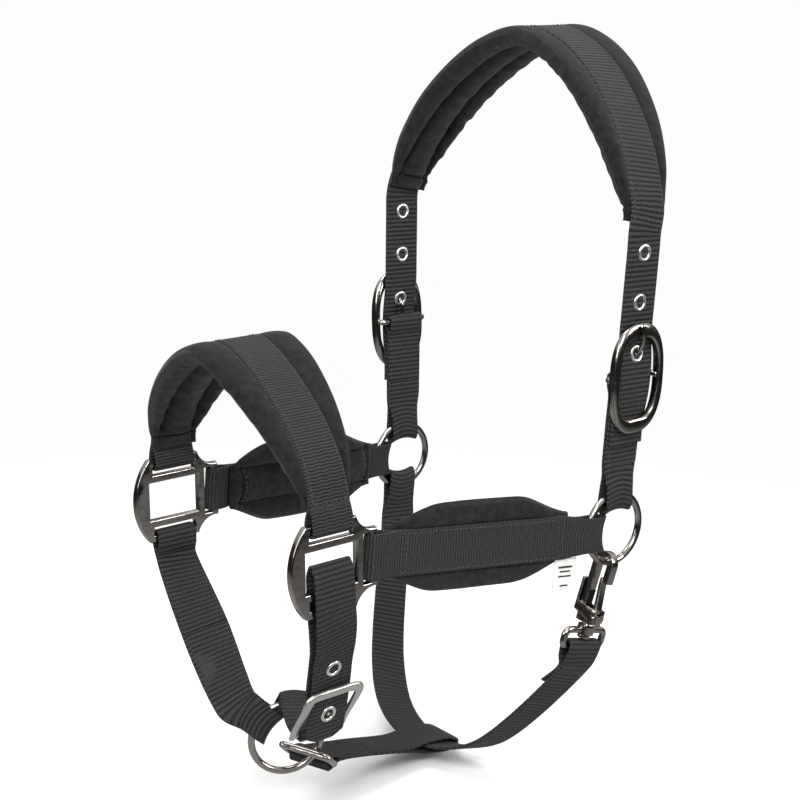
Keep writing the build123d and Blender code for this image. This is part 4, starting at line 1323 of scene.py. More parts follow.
class Crown(Assembly):
    """Crown webbing, its pad, both buckles and the upper cheek straps."""

    def line(self) -> Array:
        """Centre line of the crown webbing, from the right tip to the left.

        Returns:
            Control points.
        """
        right = [side_spot(out, up) for out, up in CROWN_WOVEN] + [np.array(p, float) for p in CROWN_ARCH]
        left = [p * OTHER_SIDE for p in reversed(right)]
        return np.array(right + [np.array(CROWN_TOP)] + left)

    def build(self) -> None:
        """Build everything on the crown."""
        line = self.line()
        webbing = Strap("crown_strap", line, FORWARD)
        self.strap(webbing, "crown", ("crown_webbing",))
        first = webbing.nearest(self.side_at(line, CROWN_PAD_START))
        last = webbing.total - first
        self.pad(line)
        rows = boxed_rows(first, last, (first + 2.0, first + 7.5, last - 2.0, last - 7.5))
        self.seams("crown_stitching", webbing, rows, "crown")
        for side in Side:
            self.upper_strap(side)
            self.buckle(side)
            self.eyelets(side, webbing)

    def side_at(self, line: Array, height: float) -> Array:
        """Place on the right half of the line at a height."""
        half = line[:len(line) // 2 + 1]
        return np.array([np.interp(height, half[:, 2], half[:, k]) for k in range(3)])

    def pad(self, line: Array) -> None:
        """Wide pad under the webbing, cut where the straps begin.

        Args:
            line: Centre line of the webbing.
        """
        start = self.side_at(line, CROWN_PAD_START)
        inner = line[(line[:, 2] > CROWN_PAD_START + 4)]
        points = np.vstack([start, inner, start * OTHER_SIDE])
        widths = both_ends([(0.0, 14.0), (0.03, 14.6), (0.10, 19.5), (0.2, 25.0), (0.35, 29.5), (0.5, 31.0)])
        pad = Pad("crown_cushion", points, FORWARD, widths, depth=9.6, seed=11, wrinkle=0.9)
        self.cushion(pad, "crown", ("crown_pad_cover", "crown_pad_foam"), 0.7)
        self.pad_seams("crown_cushion_seams", pad, "crown")

    def upper_strap(self, side: Side) -> None:
        """Doubled strap from the cheek ring up to the buckle bar.

        Args:
            side: Side of the head.
        """
        out = np.array([0, math.cos(SIDE_LEAN), -math.sin(SIDE_LEAN)])
        up = np.array([SIDE_RAKE, math.sin(SIDE_LEAN), math.cos(SIDE_LEAN)])
        ring_bar = side_spot(0, RING_RADIUS)
        buckle_bar = side_spot(0, BUCKLE_HEIGHT)
        gap = LAYER_GAP
        low = fold_round(ring_bar, out, up, *RING_FOLD, gap, 14.0)
        high = fold_round(buckle_bar, -out, -up, *CROWN_BAR_FOLD, gap, 9.0)
        points = np.vstack([side_spot(-gap, 50), side_spot(-gap, 66), high, side_spot(gap, 66),
                            side_spot(gap, 50), low, side_spot(-gap, 44), side_spot(-gap, 49.8)])
        hug = Hug(np.array([0, RING_SPREAD * side.value, 0]), np.array([0, 0, 1.0]), np.array([1.0, 0, 0]))
        strap = Strap(f"{side.word}_upper_strap", mirrored(points, side), np.array([1.0, 0, 0]), hugs=(hug,))
        self.strap(strap, "crown", (f"{side.word}_upper_cheek_strap",))
        rows = []
        for height in (36.0, 38.6, 72.0):
            s = strap.nearest(mirrored(side_spot(gap, height), side))
            rows += [SeamLine((s, -SEAM_EDGE), (s, SEAM_EDGE), face) for face in Face]
        first, last = sorted(strap.nearest(mirrored(side_spot(gap, height), side)) for height in (36, 72))
        for w in (-SEAM_EDGE, SEAM_EDGE):
            rows += [SeamLine((first, w), (last, w), face) for face in Face]
        self.seams(f"{side.word}_upper_strap_stitching", strap, rows, "crown")

    def buckle(self, side: Side) -> None:
        """Bowed oval frame, broad at both ends and deep at the sides, with its bar.

        Args:
            side: Side of the head.
        """
        count = 128
        a, b = OVAL_HALF_WIDTH - OVAL_INSET, OVAL_HALF_HEIGHT - OVAL_INSET
        flat = superellipse(2 * a, 2 * b, 2.8, count)
        path = closed_tangents(flat)
        normal = np.stack([path[:, 1], -path[:, 0]], axis=1)
        stand = 8.5 - flat[:, 1] ** 2 / 680.0
        tilt = flat[:, 1] / 340.0
        out = np.array([0, math.cos(SIDE_LEAN), -math.sin(SIDE_LEAN)])
        up = np.array([0, math.sin(SIDE_LEAN), math.cos(SIDE_LEAN)])
        back = np.array([1.0, 0, 0])
        origin = side_spot(0, BUCKLE_HEIGHT)
        up_local = up[None] * np.cos(tilt)[:, None] - out[None] * np.sin(tilt)[:, None]
        out_local = out[None] * np.cos(tilt)[:, None] + up[None] * np.sin(tilt)[:, None]
        centres = origin + flat[:, :1] * back + flat[:, 1:] * up + stand[:, None] * out
        first = unit(normal[:, :1] * back[None] + normal[:, 1:] * up_local)
        plate = np.abs(flat[:, 1] / b) ** 3
        broad, deep = 3.9 + 4.4 * plate, 6.4 - 3.1 * plate
        section = superellipse(1.0, 1.0, 2.6, 28)[None] * np.stack([broad, deep], axis=1)[:, None]
        section = section + np.stack([OVAL_INSET - broad / 2, OVAL_FACE - deep / 2], axis=1)[:, None]
        frame_ring = sweep("oval", mirrored(centres, side), mirrored(first, side), mirrored(out_local, side),
                           section, closed=True)
        bar_points = np.array([[16.3, 7.6, 0], [16.3, 4.5, 0], [15.8, 1.4, 0], [13.6, 0, 0], [0, 0, 0],
                               [-13.6, 0, 0], [-15.8, 1.4, 0], [-16.3, 4.5, 0], [-16.3, 7.6, 0]])
        world = origin + bar_points[:, :1] * back + bar_points[:, 1:2] * out
        bar = tube("bar", mirrored(evenly(curve_through(world), 0.8)[0], side), OVAL_BAR)
        frame_piece = join(f"{side.word}_oval_buckle", [frame_ring, bar])
        self.metal(frame_piece, GUNMETAL, "crown", "gunmetal", (f"{side.word}_crown_buckle_frame",))

    def eyelets(self, side: Side, webbing: Strap) -> None:
        """Three rolled eyelets near an end of the crown webbing.

        Args:
            side: Side of the head.
            webbing: The crown webbing.
        """
        parts = []
        for height in EYELET_HEIGHTS:
            parts.append(eyelet_mesh(webbing, webbing.nearest(mirrored(side_spot(4.0, height), side))))
        piece = join(f"{side.word}_crown_eyelet_set", parts)
        self.metal(piece, NICKEL, "crown", "bright_nickel", (f"{side.word}_crown_eyelets",))


EYELET_INNER = 2.95
EYELET_OUTER = 4.85
EYELET_DOME = 0.75


def eyelet_mesh(strap: Strap, s: float) -> bpy.types.Object:
    """Rolled eyelet: a domed flange on each face and a short barrel.

    Args:
        strap: Strap it is set in.
        s: Length along the strap.

    Returns:
        The finished object.
    """
    face, out = strap.place(s, 0.0, Face.OUTER)
    middle = face - out * (strap.thick / 2 + strap.ribs * 0.6)
    lift = WEB_THICK / 2 + 0.1
    turn = np.linspace(0, math.pi, 9)
    middle_r, half = (EYELET_INNER + EYELET_OUTER) / 2, (EYELET_OUTER - EYELET_INNER) / 2
    top = np.stack([middle_r - np.cos(turn) * half, lift + np.sin(turn) * EYELET_DOME], axis=1)
    profile = np.vstack([top, top[::-1] * np.array([1, -1])])
    return lathe("eyelet", profile, facing(middle, out))


def facing(middle: Array, out: Array) -> Matrix:
    """Place whose Z points along a direction.

    Args:
        middle: Its origin.
        out: Direction of its Z.

    Returns:
        The place as a matrix.
    """
    turn = Vector(out).to_track_quat("Z", "Y").to_matrix().to_4x4()
    turn.translation = Vector(middle)
    return turn


NOSE_LINE = [(76, 41), (76, 44.5), (74.8, 52), (69.4, 66), (59.4, 80), (45.5, 93.5),
             (29.6, 105.3), (14, 113.8)]
NOSE_TOP = 117.5
NOSE_BACK = -184.0


class Noseband(Assembly):
    """Noseband webbing folded on both squares, and its pad."""

    def build(self) -> None:
        """Build the webbing, the pad and their stitching."""
        x = NOSE_BACK
        right = np.array([(x, y, z) for y, z in NOSE_LINE])
        top = np.array([[x, 0.0, NOSE_TOP]])
        bar = SQUARE_CENTRE + np.array([0, 0, TOP_BAR_DROP])
        fold = fold_round(bar, np.array([0, 1.0, 0]), np.array([0, 0, 1.0]), *SQUARE_FOLD,
                          WEB_THICK / 2 + 0.15, 10.5)
        inner = np.array([[x, bar[1] - 0.95, 49.0], [x, bar[1] - 1.9, 55.0]])
        end = np.vstack([inner[::-1], fold[::-1]])
        half = np.vstack([end, right[1:]])
        line = np.vstack([half, top, (half * OTHER_SIDE)[::-1]])
        webbing = Strap("nose_strap", line, FORWARD, FINE_WEBBING)
        self.strap(webbing, "head_frame", ("nose_webbing",))
        low = webbing.nearest(right[1])
        high = webbing.total - low
        rows = boxed_rows(low, high, (low + 0.5, low + 3.5, high - 0.5, high - 3.5))
        self.seams("nose_stitching", webbing, rows, "head_frame")
        start = np.array([x, 72.9, 43.5])
        half = np.vstack([start, right[2:]])
        points = np.vstack([half, top, (half * OTHER_SIDE)[::-1]])
        widths = both_ends([(0.0, 12.8), (0.03, 14.4), (0.14, 21.0), (0.26, 26.5), (0.38, 30.5), (0.5, 32.0)])
        pad = Pad("nose_cushion", points, FORWARD, widths, depth=8.8, seed=5, wrinkle=0.9)
        self.cushion(pad, "head_frame", ("nose_pad_cover", "nose_pad_foam"), 0.7)
        self.pad_seams("nose_cushion_seams", pad, "head_frame")


class Cheekpieces(Assembly):
    """Cheek webbing from each square to each cheek ring, and the leaf pads."""

    def build(self) -> None:
        """Build both cheekpieces."""
        for side in Side:
            self.cheek(side)

    def cheek(self, side: Side) -> None:
        """One cheekpiece: a strap folded at both ends over a leaf-shaped pad.

        Args:
            side: Side of the head.
        """
        front = SQUARE_CENTRE + np.array([REAR_BAR_DROP, 0, 0])
        rear = np.array([-RING_RADIUS, RING_SPREAD, 0.0])
        run = unit(rear - front)
        flat_run = unit(run * np.array([1, 1, 0]))
        out = np.array([-flat_run[1], flat_run[0], 0.0])
        gap = LAYER_GAP
        rear_fold = fold_round(rear, out, -run, *RING_FOLD, gap, 14.0)
        front_fold = fold_round(front, -out, run, *SQUARE_FOLD, gap, 12.0)
        length = float(np.linalg.norm(rear - front))
        middle = [front + run * length * share + out * gap for share in (0.25, 0.5, 0.75)]
        inner_end = [front + run * length * share - out * gap for share in (0.82, 0.78)]
        inner_start = [front + run * length * share - out * gap for share in (0.24, 0.18)]
        line = np.vstack([inner_start, front_fold, middle, rear_fold, inner_end])
        upright = np.array([0, 0, 1.0]) - run * run[2]
        hug = Hug(np.array([0, RING_SPREAD * side.value, 0]), FORWARD, np.array([0, 0, 1.0]))
        strap = Strap(f"{side.word}_cheek_strap", mirrored(line, side), upright, FINE_WEBBING, hugs=(hug,))
        self.strap(strap, "head_frame", (f"{side.word}_cheek_webbing",))
        s0 = strap.nearest(mirrored(front + run * 17.0 + out * gap, side))
        s1 = strap.nearest(mirrored(rear - run * 19.0 + out * gap, side))
        outward = np.array([0, side.value, 0])
        normal = strap.place((s0 + s1) / 2, 0.0, Face.OUTER)[1]
        face = Face.OUTER if float(normal @ outward) > 0 else Face.INNER
        rows = boxed_rows(s0, s1, (s0, s0 + ROW_GAP, s1 - ROW_GAP, s1), face)
        self.seams(f"{side.word}_cheek_stitching", strap, rows, "head_frame")
        ends = ((8.5, 2.4), (15.0, 0.9), (length * 0.5, gap), (length - 18.0, 0.9), (length - 11.5, 2.2))
        points = mirrored(np.array([front + run * reach - out * drop for reach, drop in ends]), side)
        widths = [(0.0, 12.6), (0.05, 14.4), (0.24, 24.0), (0.42, 24.6), (0.74, 24.4), (0.90, 16.0),
                  (1.0, 12.6)]
        pad = Pad(f"{side.word}_cheek_cushion", points, upright, widths, depth=8.6, seed=7 + int(side.value),
                  wrinkle=0.25, end_seam=7.0)
        probe = pad.normal[len(pad.normal) // 2]
        if float(probe @ outward) < 0:
            pad.flip = -1.0
            pad.normal = -pad.normal
        self.cushion(pad, "head_frame", (f"{side.word}_cheek_pad_cover", f"{side.word}_cheek_pad_foam"), 0.7)
        self.pad_seams(f"{side.word}_cheek_cushion_seams", pad, "head_frame")


@dataclass
class LoopEnd:
    """Where a doubled strap turns round a bar or wire.

    Args:
        bar: Centre of the bar.
        away: Direction in which the strap leaves it.
        across: Width direction there.
        inside: Distance from the bar to the fold's inner face.
        half: Half thickness of the loop's cavity.
        reach: Distance at which the layers meet.
    """

    bar: Array
    away: Array
    across: Array
    inside: float
    half: float
    reach: float = 13.0

    def points(self, way: float) -> tuple[Array, Array]:
        """Control points round the bar, outer layer first.

        Args:
            way: +1 when the outer layer runs away from the bar, else -1.

        Returns:
            Points and the width direction at each.
        """
        away = unit(self.away)
        out = unit(np.cross(self.across, away * way))
        rows = fold_round(self.bar, out, away, self.inside, self.half, LAYER_GAP, self.reach)
        return rows, np.tile(self.across, (len(rows), 1))


def doubled(name: str, start: LoopEnd, finish: LoopEnd, hugs: tuple[Hug, ...] = ()) -> Strap:
    """Strap folded round two bars, its layers lying together between them.

    Args:
        name: Name of the piece.
        start: First loop.
        finish: Second loop.
        hugs: Rings that its ends follow.

    Returns:
        The strap, outer layer running from the first loop to the second.
    """
    first, first_wide = start.points(1.0)
    last, last_wide = finish.points(-1.0)
    middle_wide = unit(start.across + finish.across)
    inner_a, inner_b = first[-1], last[-1]
    centre = (inner_a + inner_b) / 2
    travel = unit(inner_b - inner_a) * 0.12
    points = np.vstack([centre - travel, first[::-1], last, centre + travel])
    wide = np.vstack([middle_wide, first_wide[::-1], last_wide, middle_wide])
    return Strap(name, points, wide, hugs=hugs)


def snap_space() -> Matrix:
    """Own directions of the snap: zero at the left ring, Y out, Z up.

    Returns:
        Matrix from the snap's directions to the drawing frame.
    """
    return (Matrix.Translation((0, -RING_SPREAD, 0)) @ Matrix.Rotation(SNAP_TILT, 4, "Y")
            @ Matrix.Translation((0, 0, -RING_RADIUS)) @ Matrix.Rotation(SNAP_LEAN, 4, "X")
            @ Matrix.Translation((0, 0, RING_RADIUS)) @ Matrix.Rotation(math.pi, 4, "Z"))


def snap_spot(back: float, out: float, up: float) -> Array:
    """Place from distances in the snap's own directions."""
    return np.array(snap_space() @ Vector((-back, out, up)))


# Places (Y, Z) of the left chin strap over the square's lower bars, and its X
# at six heights.
LEFT_CHIN_ROUTE = [(-67.6, -44.5), (-73.2, -31.5), (-77.5, -19), (-78.8, -9), (-78.7, 3), (-78.0, 11),
                   (-75.0, 15.5), (-72.0, 11), (-71.3, 2), (-71.2, -9), (-70.2, -20), (-67.4, -33),
                   (-63.4, -44)]
LEFT_CHIN_BACKS = ([-100, -72, -58, -40, -12, 24], [-174.6, -175.0, -175.6, -177.4, -182.8, -184.0])


class ChinGear(Assembly):
    """Chin straps, their buckle, the chin ring, link and connector."""

    def build(self) -> None:
        """Build everything under the chin."""
        self.right_strap()
        self.left_strap()
        self.buckle()
        self.anchor()
        self.ring()
        self.connector()

    def ring_end(self, degrees: float, toward: Array, reach: float) -> LoopEnd:
        """Loop end on the chin ring, aimed at a place.

        Args:
            degrees: Where on the ring.
            toward: Where the strap goes.
            reach: Distance at which its layers meet.

        Returns:
            The loop end.
        """
        spoke, tangent = chin_spoke(degrees)
        bar = CHIN_RING_CENTRE + spoke * RING_RADIUS
        aim = unit(toward - bar) + spoke * 2.2
        aim = unit(aim - tangent * float(aim @ tangent))
        return LoopEnd(bar, aim, -tangent, *RING_FOLD, reach)

    def ring_hug(self, degrees: float) -> Hug:
        """Curve of the chin ring where a strap is folded on it."""
        spoke, tangent = chin_spoke(degrees)
        return Hug(CHIN_RING_CENTRE, spoke, tangent, 0.8)

    def right_strap(self) -> None:
        """Doubled strap from the right square to the chin ring."""
        bar = SQUARE_CENTRE - np.array([0, 0, TOP_BAR_DROP])
        top = LoopEnd(bar, unit(np.array([0, -0.12, -1.0])), -FORWARD, *SQUARE_FOLD, 12.0)
        low = self.ring_end(RIGHT_TIE, bar, 15.0)
        strap = doubled("right_chin_webbing", top, low, (self.ring_hug(RIGHT_TIE),))
        self.strap(strap, "head_frame", ("right_chin_strap",))
        spots = [bar + top.away * 17, low.bar + low.away * 19]
        self.cross_rows("right_chin_stitching", strap, spots)

    def cross_rows(self, name: str, strap: Strap, spots: list[Array]) -> None:
        """Double rows of stitches across a strap near the given places.

        Args:
            name: Name of the piece.
            strap: The strap.
            spots: Places near its outer layer.
        """
        rows = []
        for spot in spots:
            s = strap.nearest(spot, strap.total * 0.16, strap.total * 0.84)
            for shift in (0.0, ROW_GAP):
                rows.append(SeamLine((s + shift, -CROSS_HALF), (s + shift, CROSS_HALF)))
        self.seams(name, strap, rows, "head_frame")

    def left_strap(self) -> None:
        """Adjustable strap folded over both lower bars of the left square."""
        tip = [chin_place(0, 0, up)[1:] for up in (-20, -10, 0, 10, 18)]
        low = [chin_place(0, -4.6, up)[1:] for up in (18, 8)]
        plane = np.vstack([tip, LEFT_CHIN_ROUTE, low])
        points = np.column_stack([np.interp(plane[:, 1], *LEFT_CHIN_BACKS), plane])[::-1]
        strap = Strap("left_chin_webbing", points, FORWARD, tip=4.0)
        self.strap(strap, "head_frame", ("left_chin_strap",))
        rows = []
        for spot in ((-183.0, -71.3, -14.0), (-181.6, -70.6, -20.0)):
            s = strap.nearest(spot)
            rows += [SeamLine((s, -CROSS_HALF), (s, CROSS_HALF), face) for face in (Face.INNER, Face.OUTER)]
        self.seams("left_chin_stitching", strap, rows, "head_frame")
        parts = []
        for up, back in ((-3.0, 0.0), (27.0, -1.4)):
            spot = chin_place(back, 0, up)
            s = strap.nearest(spot, strap.total * 0.55)
            parts.append(eyelet_mesh(strap, s))
        piece = join("chin_eyelet_pair", parts)
        self.metal(piece, NICKEL, "head_frame", "bright_nickel", ("chin_eyelets",))

    def buckle(self) -> None:
        """Brushed frame: a broad top bar rounded into two arms, and its heel bar."""
        half = CHIN_FRAME_HALF
        arm = [(-half, -CHIN_HEEL_DEPTH, -18.4), (-half, -4.6, -14), (-half, -1.2, -4), (-half, 1.7, 4),
               (-half, 2.9, 8.6), (-half + 1.3, 3.3, 11.8), (-half + 4.8, 3.4, 13.0)]
        rows = arm + [(0, 3.6, 13.3)] + [(-back, out, up) for back, out, up in reversed(arm)]
        centres, _, _ = evenly(curve_through(np.array([chin_place(*row) for row in rows])), 0.6)
        heights = (centres - CHIN_BUCKLE_CENTRE) @ (chin_place(0, 0, 1) - chin_place(0, 0, 0))
        face = unit(chin_place(0, 28, -8.9) - chin_place(0, 0, 0))
        along = tangents(centres)
        wide = unit(np.cross(along, np.broadcast_to(face, along.shape)))
        face = np.cross(wide, along)
        breadth = np.interp(heights, (-18, 7, 12), (3.4, 4.7, 6.3))
        spread = np.stack([breadth, np.ones_like(breadth)], axis=1)
        plate = sweep("plate", centres, wide, face, superellipse(1.0, 2.7, 3.2, 28)[None] * spread[:, None])
        steps = 12
        ends = np.array([chin_place(back, -CHIN_HEEL_DEPTH, -CHIN_HEEL_DROP)
                         for back in np.linspace(-half, half, steps)])
        heel = sweep("heel", ends, np.tile(face[0], (steps, 1)), np.tile(along[0], (steps, 1)),
                     superellipse(CHIN_HEEL_BAR, CHIN_HEEL_BAR, 2.0))
        piece = join("chin_buckle_plate", [plate, heel])
        self.metal(piece, PEWTER, "head_frame", "pewter", ("chin_buckle_frame",))

    def anchor(self) -> None:
        """Short doubled strap from the buckle's heel bar to the chin ring."""
        heel = chin_place(0, -CHIN_HEEL_DEPTH, -CHIN_HEEL_DROP)
        low = self.ring_end(LEFT_TIE, heel, 8.5)
        away = low.bar - heel
        away = unit(np.array([0, away[1], away[2]]))
        top = LoopEnd(heel, away, -FORWARD, *HEEL_FOLD, 7.5)
        strap = doubled("chin_anchor_webbing", top, low, (self.ring_hug(LEFT_TIE),))
        self.strap(strap, "head_frame", ("chin_anchor_strap",))

    def ring(self) -> None:
        """Round ring that carries the lead rope."""
        turn = np.linspace(0, 2 * math.pi, 120, endpoint=False)
        spokes = np.array([chin_spoke(math.degrees(t))[0] for t in turn])
        piece = tube("lead_ring_wire", CHIN_RING_CENTRE + spokes * RING_RADIUS, RING_WIRE, closed=True)
        self.metal(piece, GUNMETAL, "lead_ring", "gunmetal", ("chin_ring",))

    def connector(self) -> None:
        """Doubled strap from the link to a loop round the throat strap."""
        spoke = chin_spoke(-45.0)[0]
        front = CHIN_RING_CENTRE + spoke * 14.3
        length = unit(np.array([0.45, -0.88, -0.1]))
        depth = np.array([9.9, 4.3, -9.0])
        depth = unit(depth - length * float(depth @ length))
        bar = front + depth * 14.0
        aim = unit(THROAT_LOW - bar)
        first = unit(aim - length * float(aim @ length))
        near = LoopEnd(bar, first, -length, *LINK_FOLD, 12.0)
        far = LoopEnd(THROAT_LOW, unit(np.array([-1.0, 0, 0.16])), np.array([0, 1.0, 0]), 13.9, 2.8, 22.0)
        strap = doubled("connector_webbing", near, far)
        self.strap(strap, "head_frame", ("connector_strap",))
        spots = [bar + first * 16.5, THROAT_LOW + far.away * 20.5]
        self.cross_rows("connector_stitching", strap, spots)


THROAT_LOW = np.array([-55.5, 2.0, -149.0])
EYE_BAR_HEIGHT = -71.0


class Throat(Assembly):
    """Throat strap with both folded-back ends, and the cheek rings."""

    def build(self) -> None:
        """Build the strap and both rings."""
        away = unit(np.array([-0.1, -0.05, -1.0]))
        spoke = unit(np.array([away[0], 0, away[2]]))
        tangent = np.array([-spoke[2], 0, spoke[0]])
        ring_bar = np.array([0, RING_SPREAD, 0]) + spoke * RING_RADIUS
        eye_bar = snap_spot(0, 0, EYE_BAR_HEIGHT)
        axis = unit(snap_spot(10, 0, EYE_BAR_HEIGHT) - eye_bar)
        aim = unit(eye_bar - snap_spot(0, 0, 0))
        top = LoopEnd(ring_bar, away, tangent, *RING_FOLD, 15.0)
        low = LoopEnd(eye_bar, aim, axis, *LINK_FOLD, 12.0)
        first, first_wide = top.points(1.0)
        last, last_wide = low.points(-1.0)
        way = np.array([(-10, 88.6, -58), (-20, 81.5, -88), (-36, 64, -123), (-48, 43, -140),
                        (-54.2, 21, -147.6), THROAT_LOW, (-54.0, -17, -147.6), (-47, -46, -135)], float)
        inner_top = first[-1] + away * 14.0
        inner_low = last[-1] + unit(way[-1] - last[0]) * 16.0
        share = np.linspace(0, 1, len(way))[:, None]
        wide = unit(tangent * (1 - share) + axis * share)
        points = np.vstack([inner_top, first[::-1], way, last, inner_low])
        guide = np.vstack([tangent, first_wide[::-1], wide, last_wide, axis])
        hug = Hug(np.array([0, RING_SPREAD, 0]), spoke, tangent)
        strap = Strap("throat_webbing", points, guide, hugs=(hug,))
        self.strap(strap, "head_frame", ("throat_strap",))
        rows = []
        for spot in (ring_bar + away * 19, eye_bar + aim * 16):
            s = strap.nearest(spot, 60.0, strap.total - 40.0)
            for shift in (0.0, ROW_GAP):
                rows.append(SeamLine((s + shift, -CROSS_HALF), (s + shift, CROSS_HALF)))
        self.seams("throat_stitching", strap, rows, "head_frame")
        for side in Side:
            self.ring(side)

    def ring(self, side: Side) -> None:
        """Round wire ring at a cheek.

        Args:
            side: Side of the head.
        """
        turn = np.linspace(0, 2 * math.pi, 120, endpoint=False)
        points = np.stack([np.cos(turn) * RING_RADIUS, np.full(120, RING_SPREAD * side.value),
                           np.sin(turn) * RING_RADIUS], axis=1)
        piece = tube(f"{side.word}_ring_wire", points, RING_WIRE, closed=True)
        self.metal(piece, GUNMETAL, f"{side.word}_ring", "gunmetal", (f"{side.word}_cheek_ring",))


LABEL_WIDE = 14.8
LABEL_TALL = 18.8
LABEL_THICK = 0.42


class Label(Assembly):
    """Small size label sewn under the left cheek webbing, print kept generic."""

    def build(self) -> None:
        """Build the cloth tab and its plain printed marks."""
        front = (SQUARE_CENTRE + np.array([REAR_BAR_DROP, 0, 0])) * np.array([1, -1, 1])
        rear = np.array([-RING_RADIUS, -RING_SPREAD, 0.0])
        run = unit(rear - front)
        out = unit(np.cross(run, np.array([0, 0, 1.0])))
        out = out if out[1] < 0 else -out
        up = unit(np.cross(out, run))
        up = up if up[2] > 0 else -up
        middle = front + (rear - front) * 0.90 + up * -21.8
        tab = self.tab(middle, run, up, out)
        marks = self.marks(middle, run, up, out)
        self.keep(tab, "head_frame", "label_cloth", ("size_label",))
        self.keep(marks, "head_frame", "label_cloth")

    def tab(self, middle: Array, run: Array, up: Array, out: Array) -> bpy.types.Object:
        """Thin cloth tab that bows out a little towards its free end.

        Args:
            middle: Centre of the label.
            run: Direction of its width.
            up: Direction of its height.
            out: Direction out of its printed face.

        Returns:
            The finished object.
        """
        side, end = LABEL_WIDE / 2, LABEL_TALL / 2
        w, h = np.meshgrid(np.linspace(-side, side, 25), np.linspace(-end, end, 31), indexing="ij")
        sag = 0.35 * np.cos(w / side * 1.4) * np.clip((end - h) / 12, 0, 1)
        face = middle + run * w[..., None] + up * h[..., None] + out * sag[..., None]
        back = face - out * LABEL_THICK
        grid = np.concatenate([face, back[:, ::-1]], axis=1)
        rows, columns = grid.shape[:2]
        piece = make_mesh("label_tab", grid.reshape(-1, 3), grid_faces(rows, columns, False, True),
                          end_caps(rows, columns))
        piece.data.materials.append(self.painter.give(LABEL_CLOTH))
        return piece

    def marks(self, middle: Array, run: Array, up: Array, out: Array) -> bpy.types.Object:
        """Four plain printed bars, placed as in tab().

        Args:
            middle: Centre of the label.
            run: Direction of its width.
            up: Direction of its height.
            out: Direction out of its printed face.

        Returns:
            The finished object.
        """
        bars = []
        for low, high, reach in ((4.0, 5.0, 4.6), (1.6, 2.4, 3.4), (-1.2, -0.4, 4.2), (-6.6, -5.8, 2.6)):
            outline = ((-reach, low), (reach, low), (reach, high), (-reach, high))
            box = np.array([middle + run * w + up * h + out * lift
                            for lift in (0.12, 0.5) for w, h in outline])
            walls = [[k, (k + 1) % 4, 4 + (k + 1) % 4, 4 + k] for k in range(4)]
            quads = np.array([[0, 1, 2, 3], [4, 5, 6, 7]] + walls)
            bars.append(make_mesh("mark", box, quads, smooth=False))
        piece = join("label_marks", bars)
        piece.data.materials.append(self.painter.give(LABEL_PRINT))
        return piece


PLATED_NODES = {
    GUNMETAL: ("left_halter_square", "right_halter_square", "chin_link", "snap_eye", "snap_hook",
               "snap_gate", "snap_gate_rivet", "left_crown_buckle_tongue", "right_crown_buckle_tongue"),
    NICKEL: ("chin_buckle_tongue",),
    BLACK_STEEL: ("snap_spring",),
}


# Radius of the rounded edges in millimetres.
SOFTENED = {"left_halter_square": 0.9, "right_halter_square": 0.9, "snap_hook": 0.9, "snap_gate": 0.4}


class Castings(Assembly):
    """Cast and stamped metal: CAD shapes, some with their edges rounded."""

    def build(self) -> None:
        """Finish every metal node that keeps its CAD shape."""
        for finish, names in PLATED_NODES.items():
            for name in names:
                node = frame["nodes"][name]
                if name in SOFTENED:
                    self.rounded(node, name, finish, SOFTENED[name])
                    continue
                node.data.materials.clear()
                node.data.materials.append(self.painter.give(finish))
                log.info("plated %s", name)

    def rounded(self, node: bpy.types.Object, name: str, finish: MetalFinish, radius: float) -> None:
        """Copy a node's shape with its edges rounded.

        Args:
            node: The CAD node, left as it is.
            name: Its name.
            finish: Plating.
            radius: Edge radius in millimetres.
        """
        mesh = node.data.copy()
        work = bmesh.new()
        work.from_mesh(mesh)
        bmesh.ops.remove_doubles(work, verts=work.verts, dist=0.00002)
        bmesh.ops.dissolve_limit(work, angle_limit=math.radians(1.0), verts=work.verts, edges=work.edges)
        edges = [edge for edge in work.edges
                 if len(edge.link_faces) == 2 and edge.calc_face_angle(0.0) > math.radians(35)]
        bmesh.ops.bevel(work, geom=edges, offset=radius * MM, segments=3, profile=0.5, affect="EDGES",
                        clamp_overlap=True)
        bmesh.ops.triangulate(work, faces=[f for f in work.faces if len(f.verts) > 4])
        for face in work.faces:
            face.smooth = True
        work.to_mesh(mesh)
        work.free()
        if mesh.has_custom_normals:
            mesh.attributes.remove(mesh.attributes["custom_normal"])
        mesh.set_sharp_from_angle(angle=math.radians(32))
        piece = bpy.data.objects.new(f"{name}_cast", mesh)
        bpy.context.scene.collection.objects.link(piece)
        self.metal(piece, finish, node["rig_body"], "gunmetal", (name,))


@dataclass(frozen=True)
class Softbox:
    """Square studio light aimed at the object.

    Args:
        name: Name of the light.
        place: Where it stands, in metres.
        size: Length of its side in metres.
        power: Watts.
        colour: Colour of its light.
    """

    name: str
    place: tuple[float, float, float]
    size: float
    power: float
    colour: tuple[float, float, float] = (1.0, 0.99, 0.97)


SOFTBOXES = (
    Softbox("key", (-1.1, -1.2, 1.5), 0.9, 52.0),
    Softbox("side", (1.2, -1.3, 0.5), 0.7, 18.0),
    Softbox("left", (-1.7, 0.3, 0.6), 1.0, 12.0),
    Softbox("top", (0.1, 0.4, 1.7), 1.4, 26.0),
)


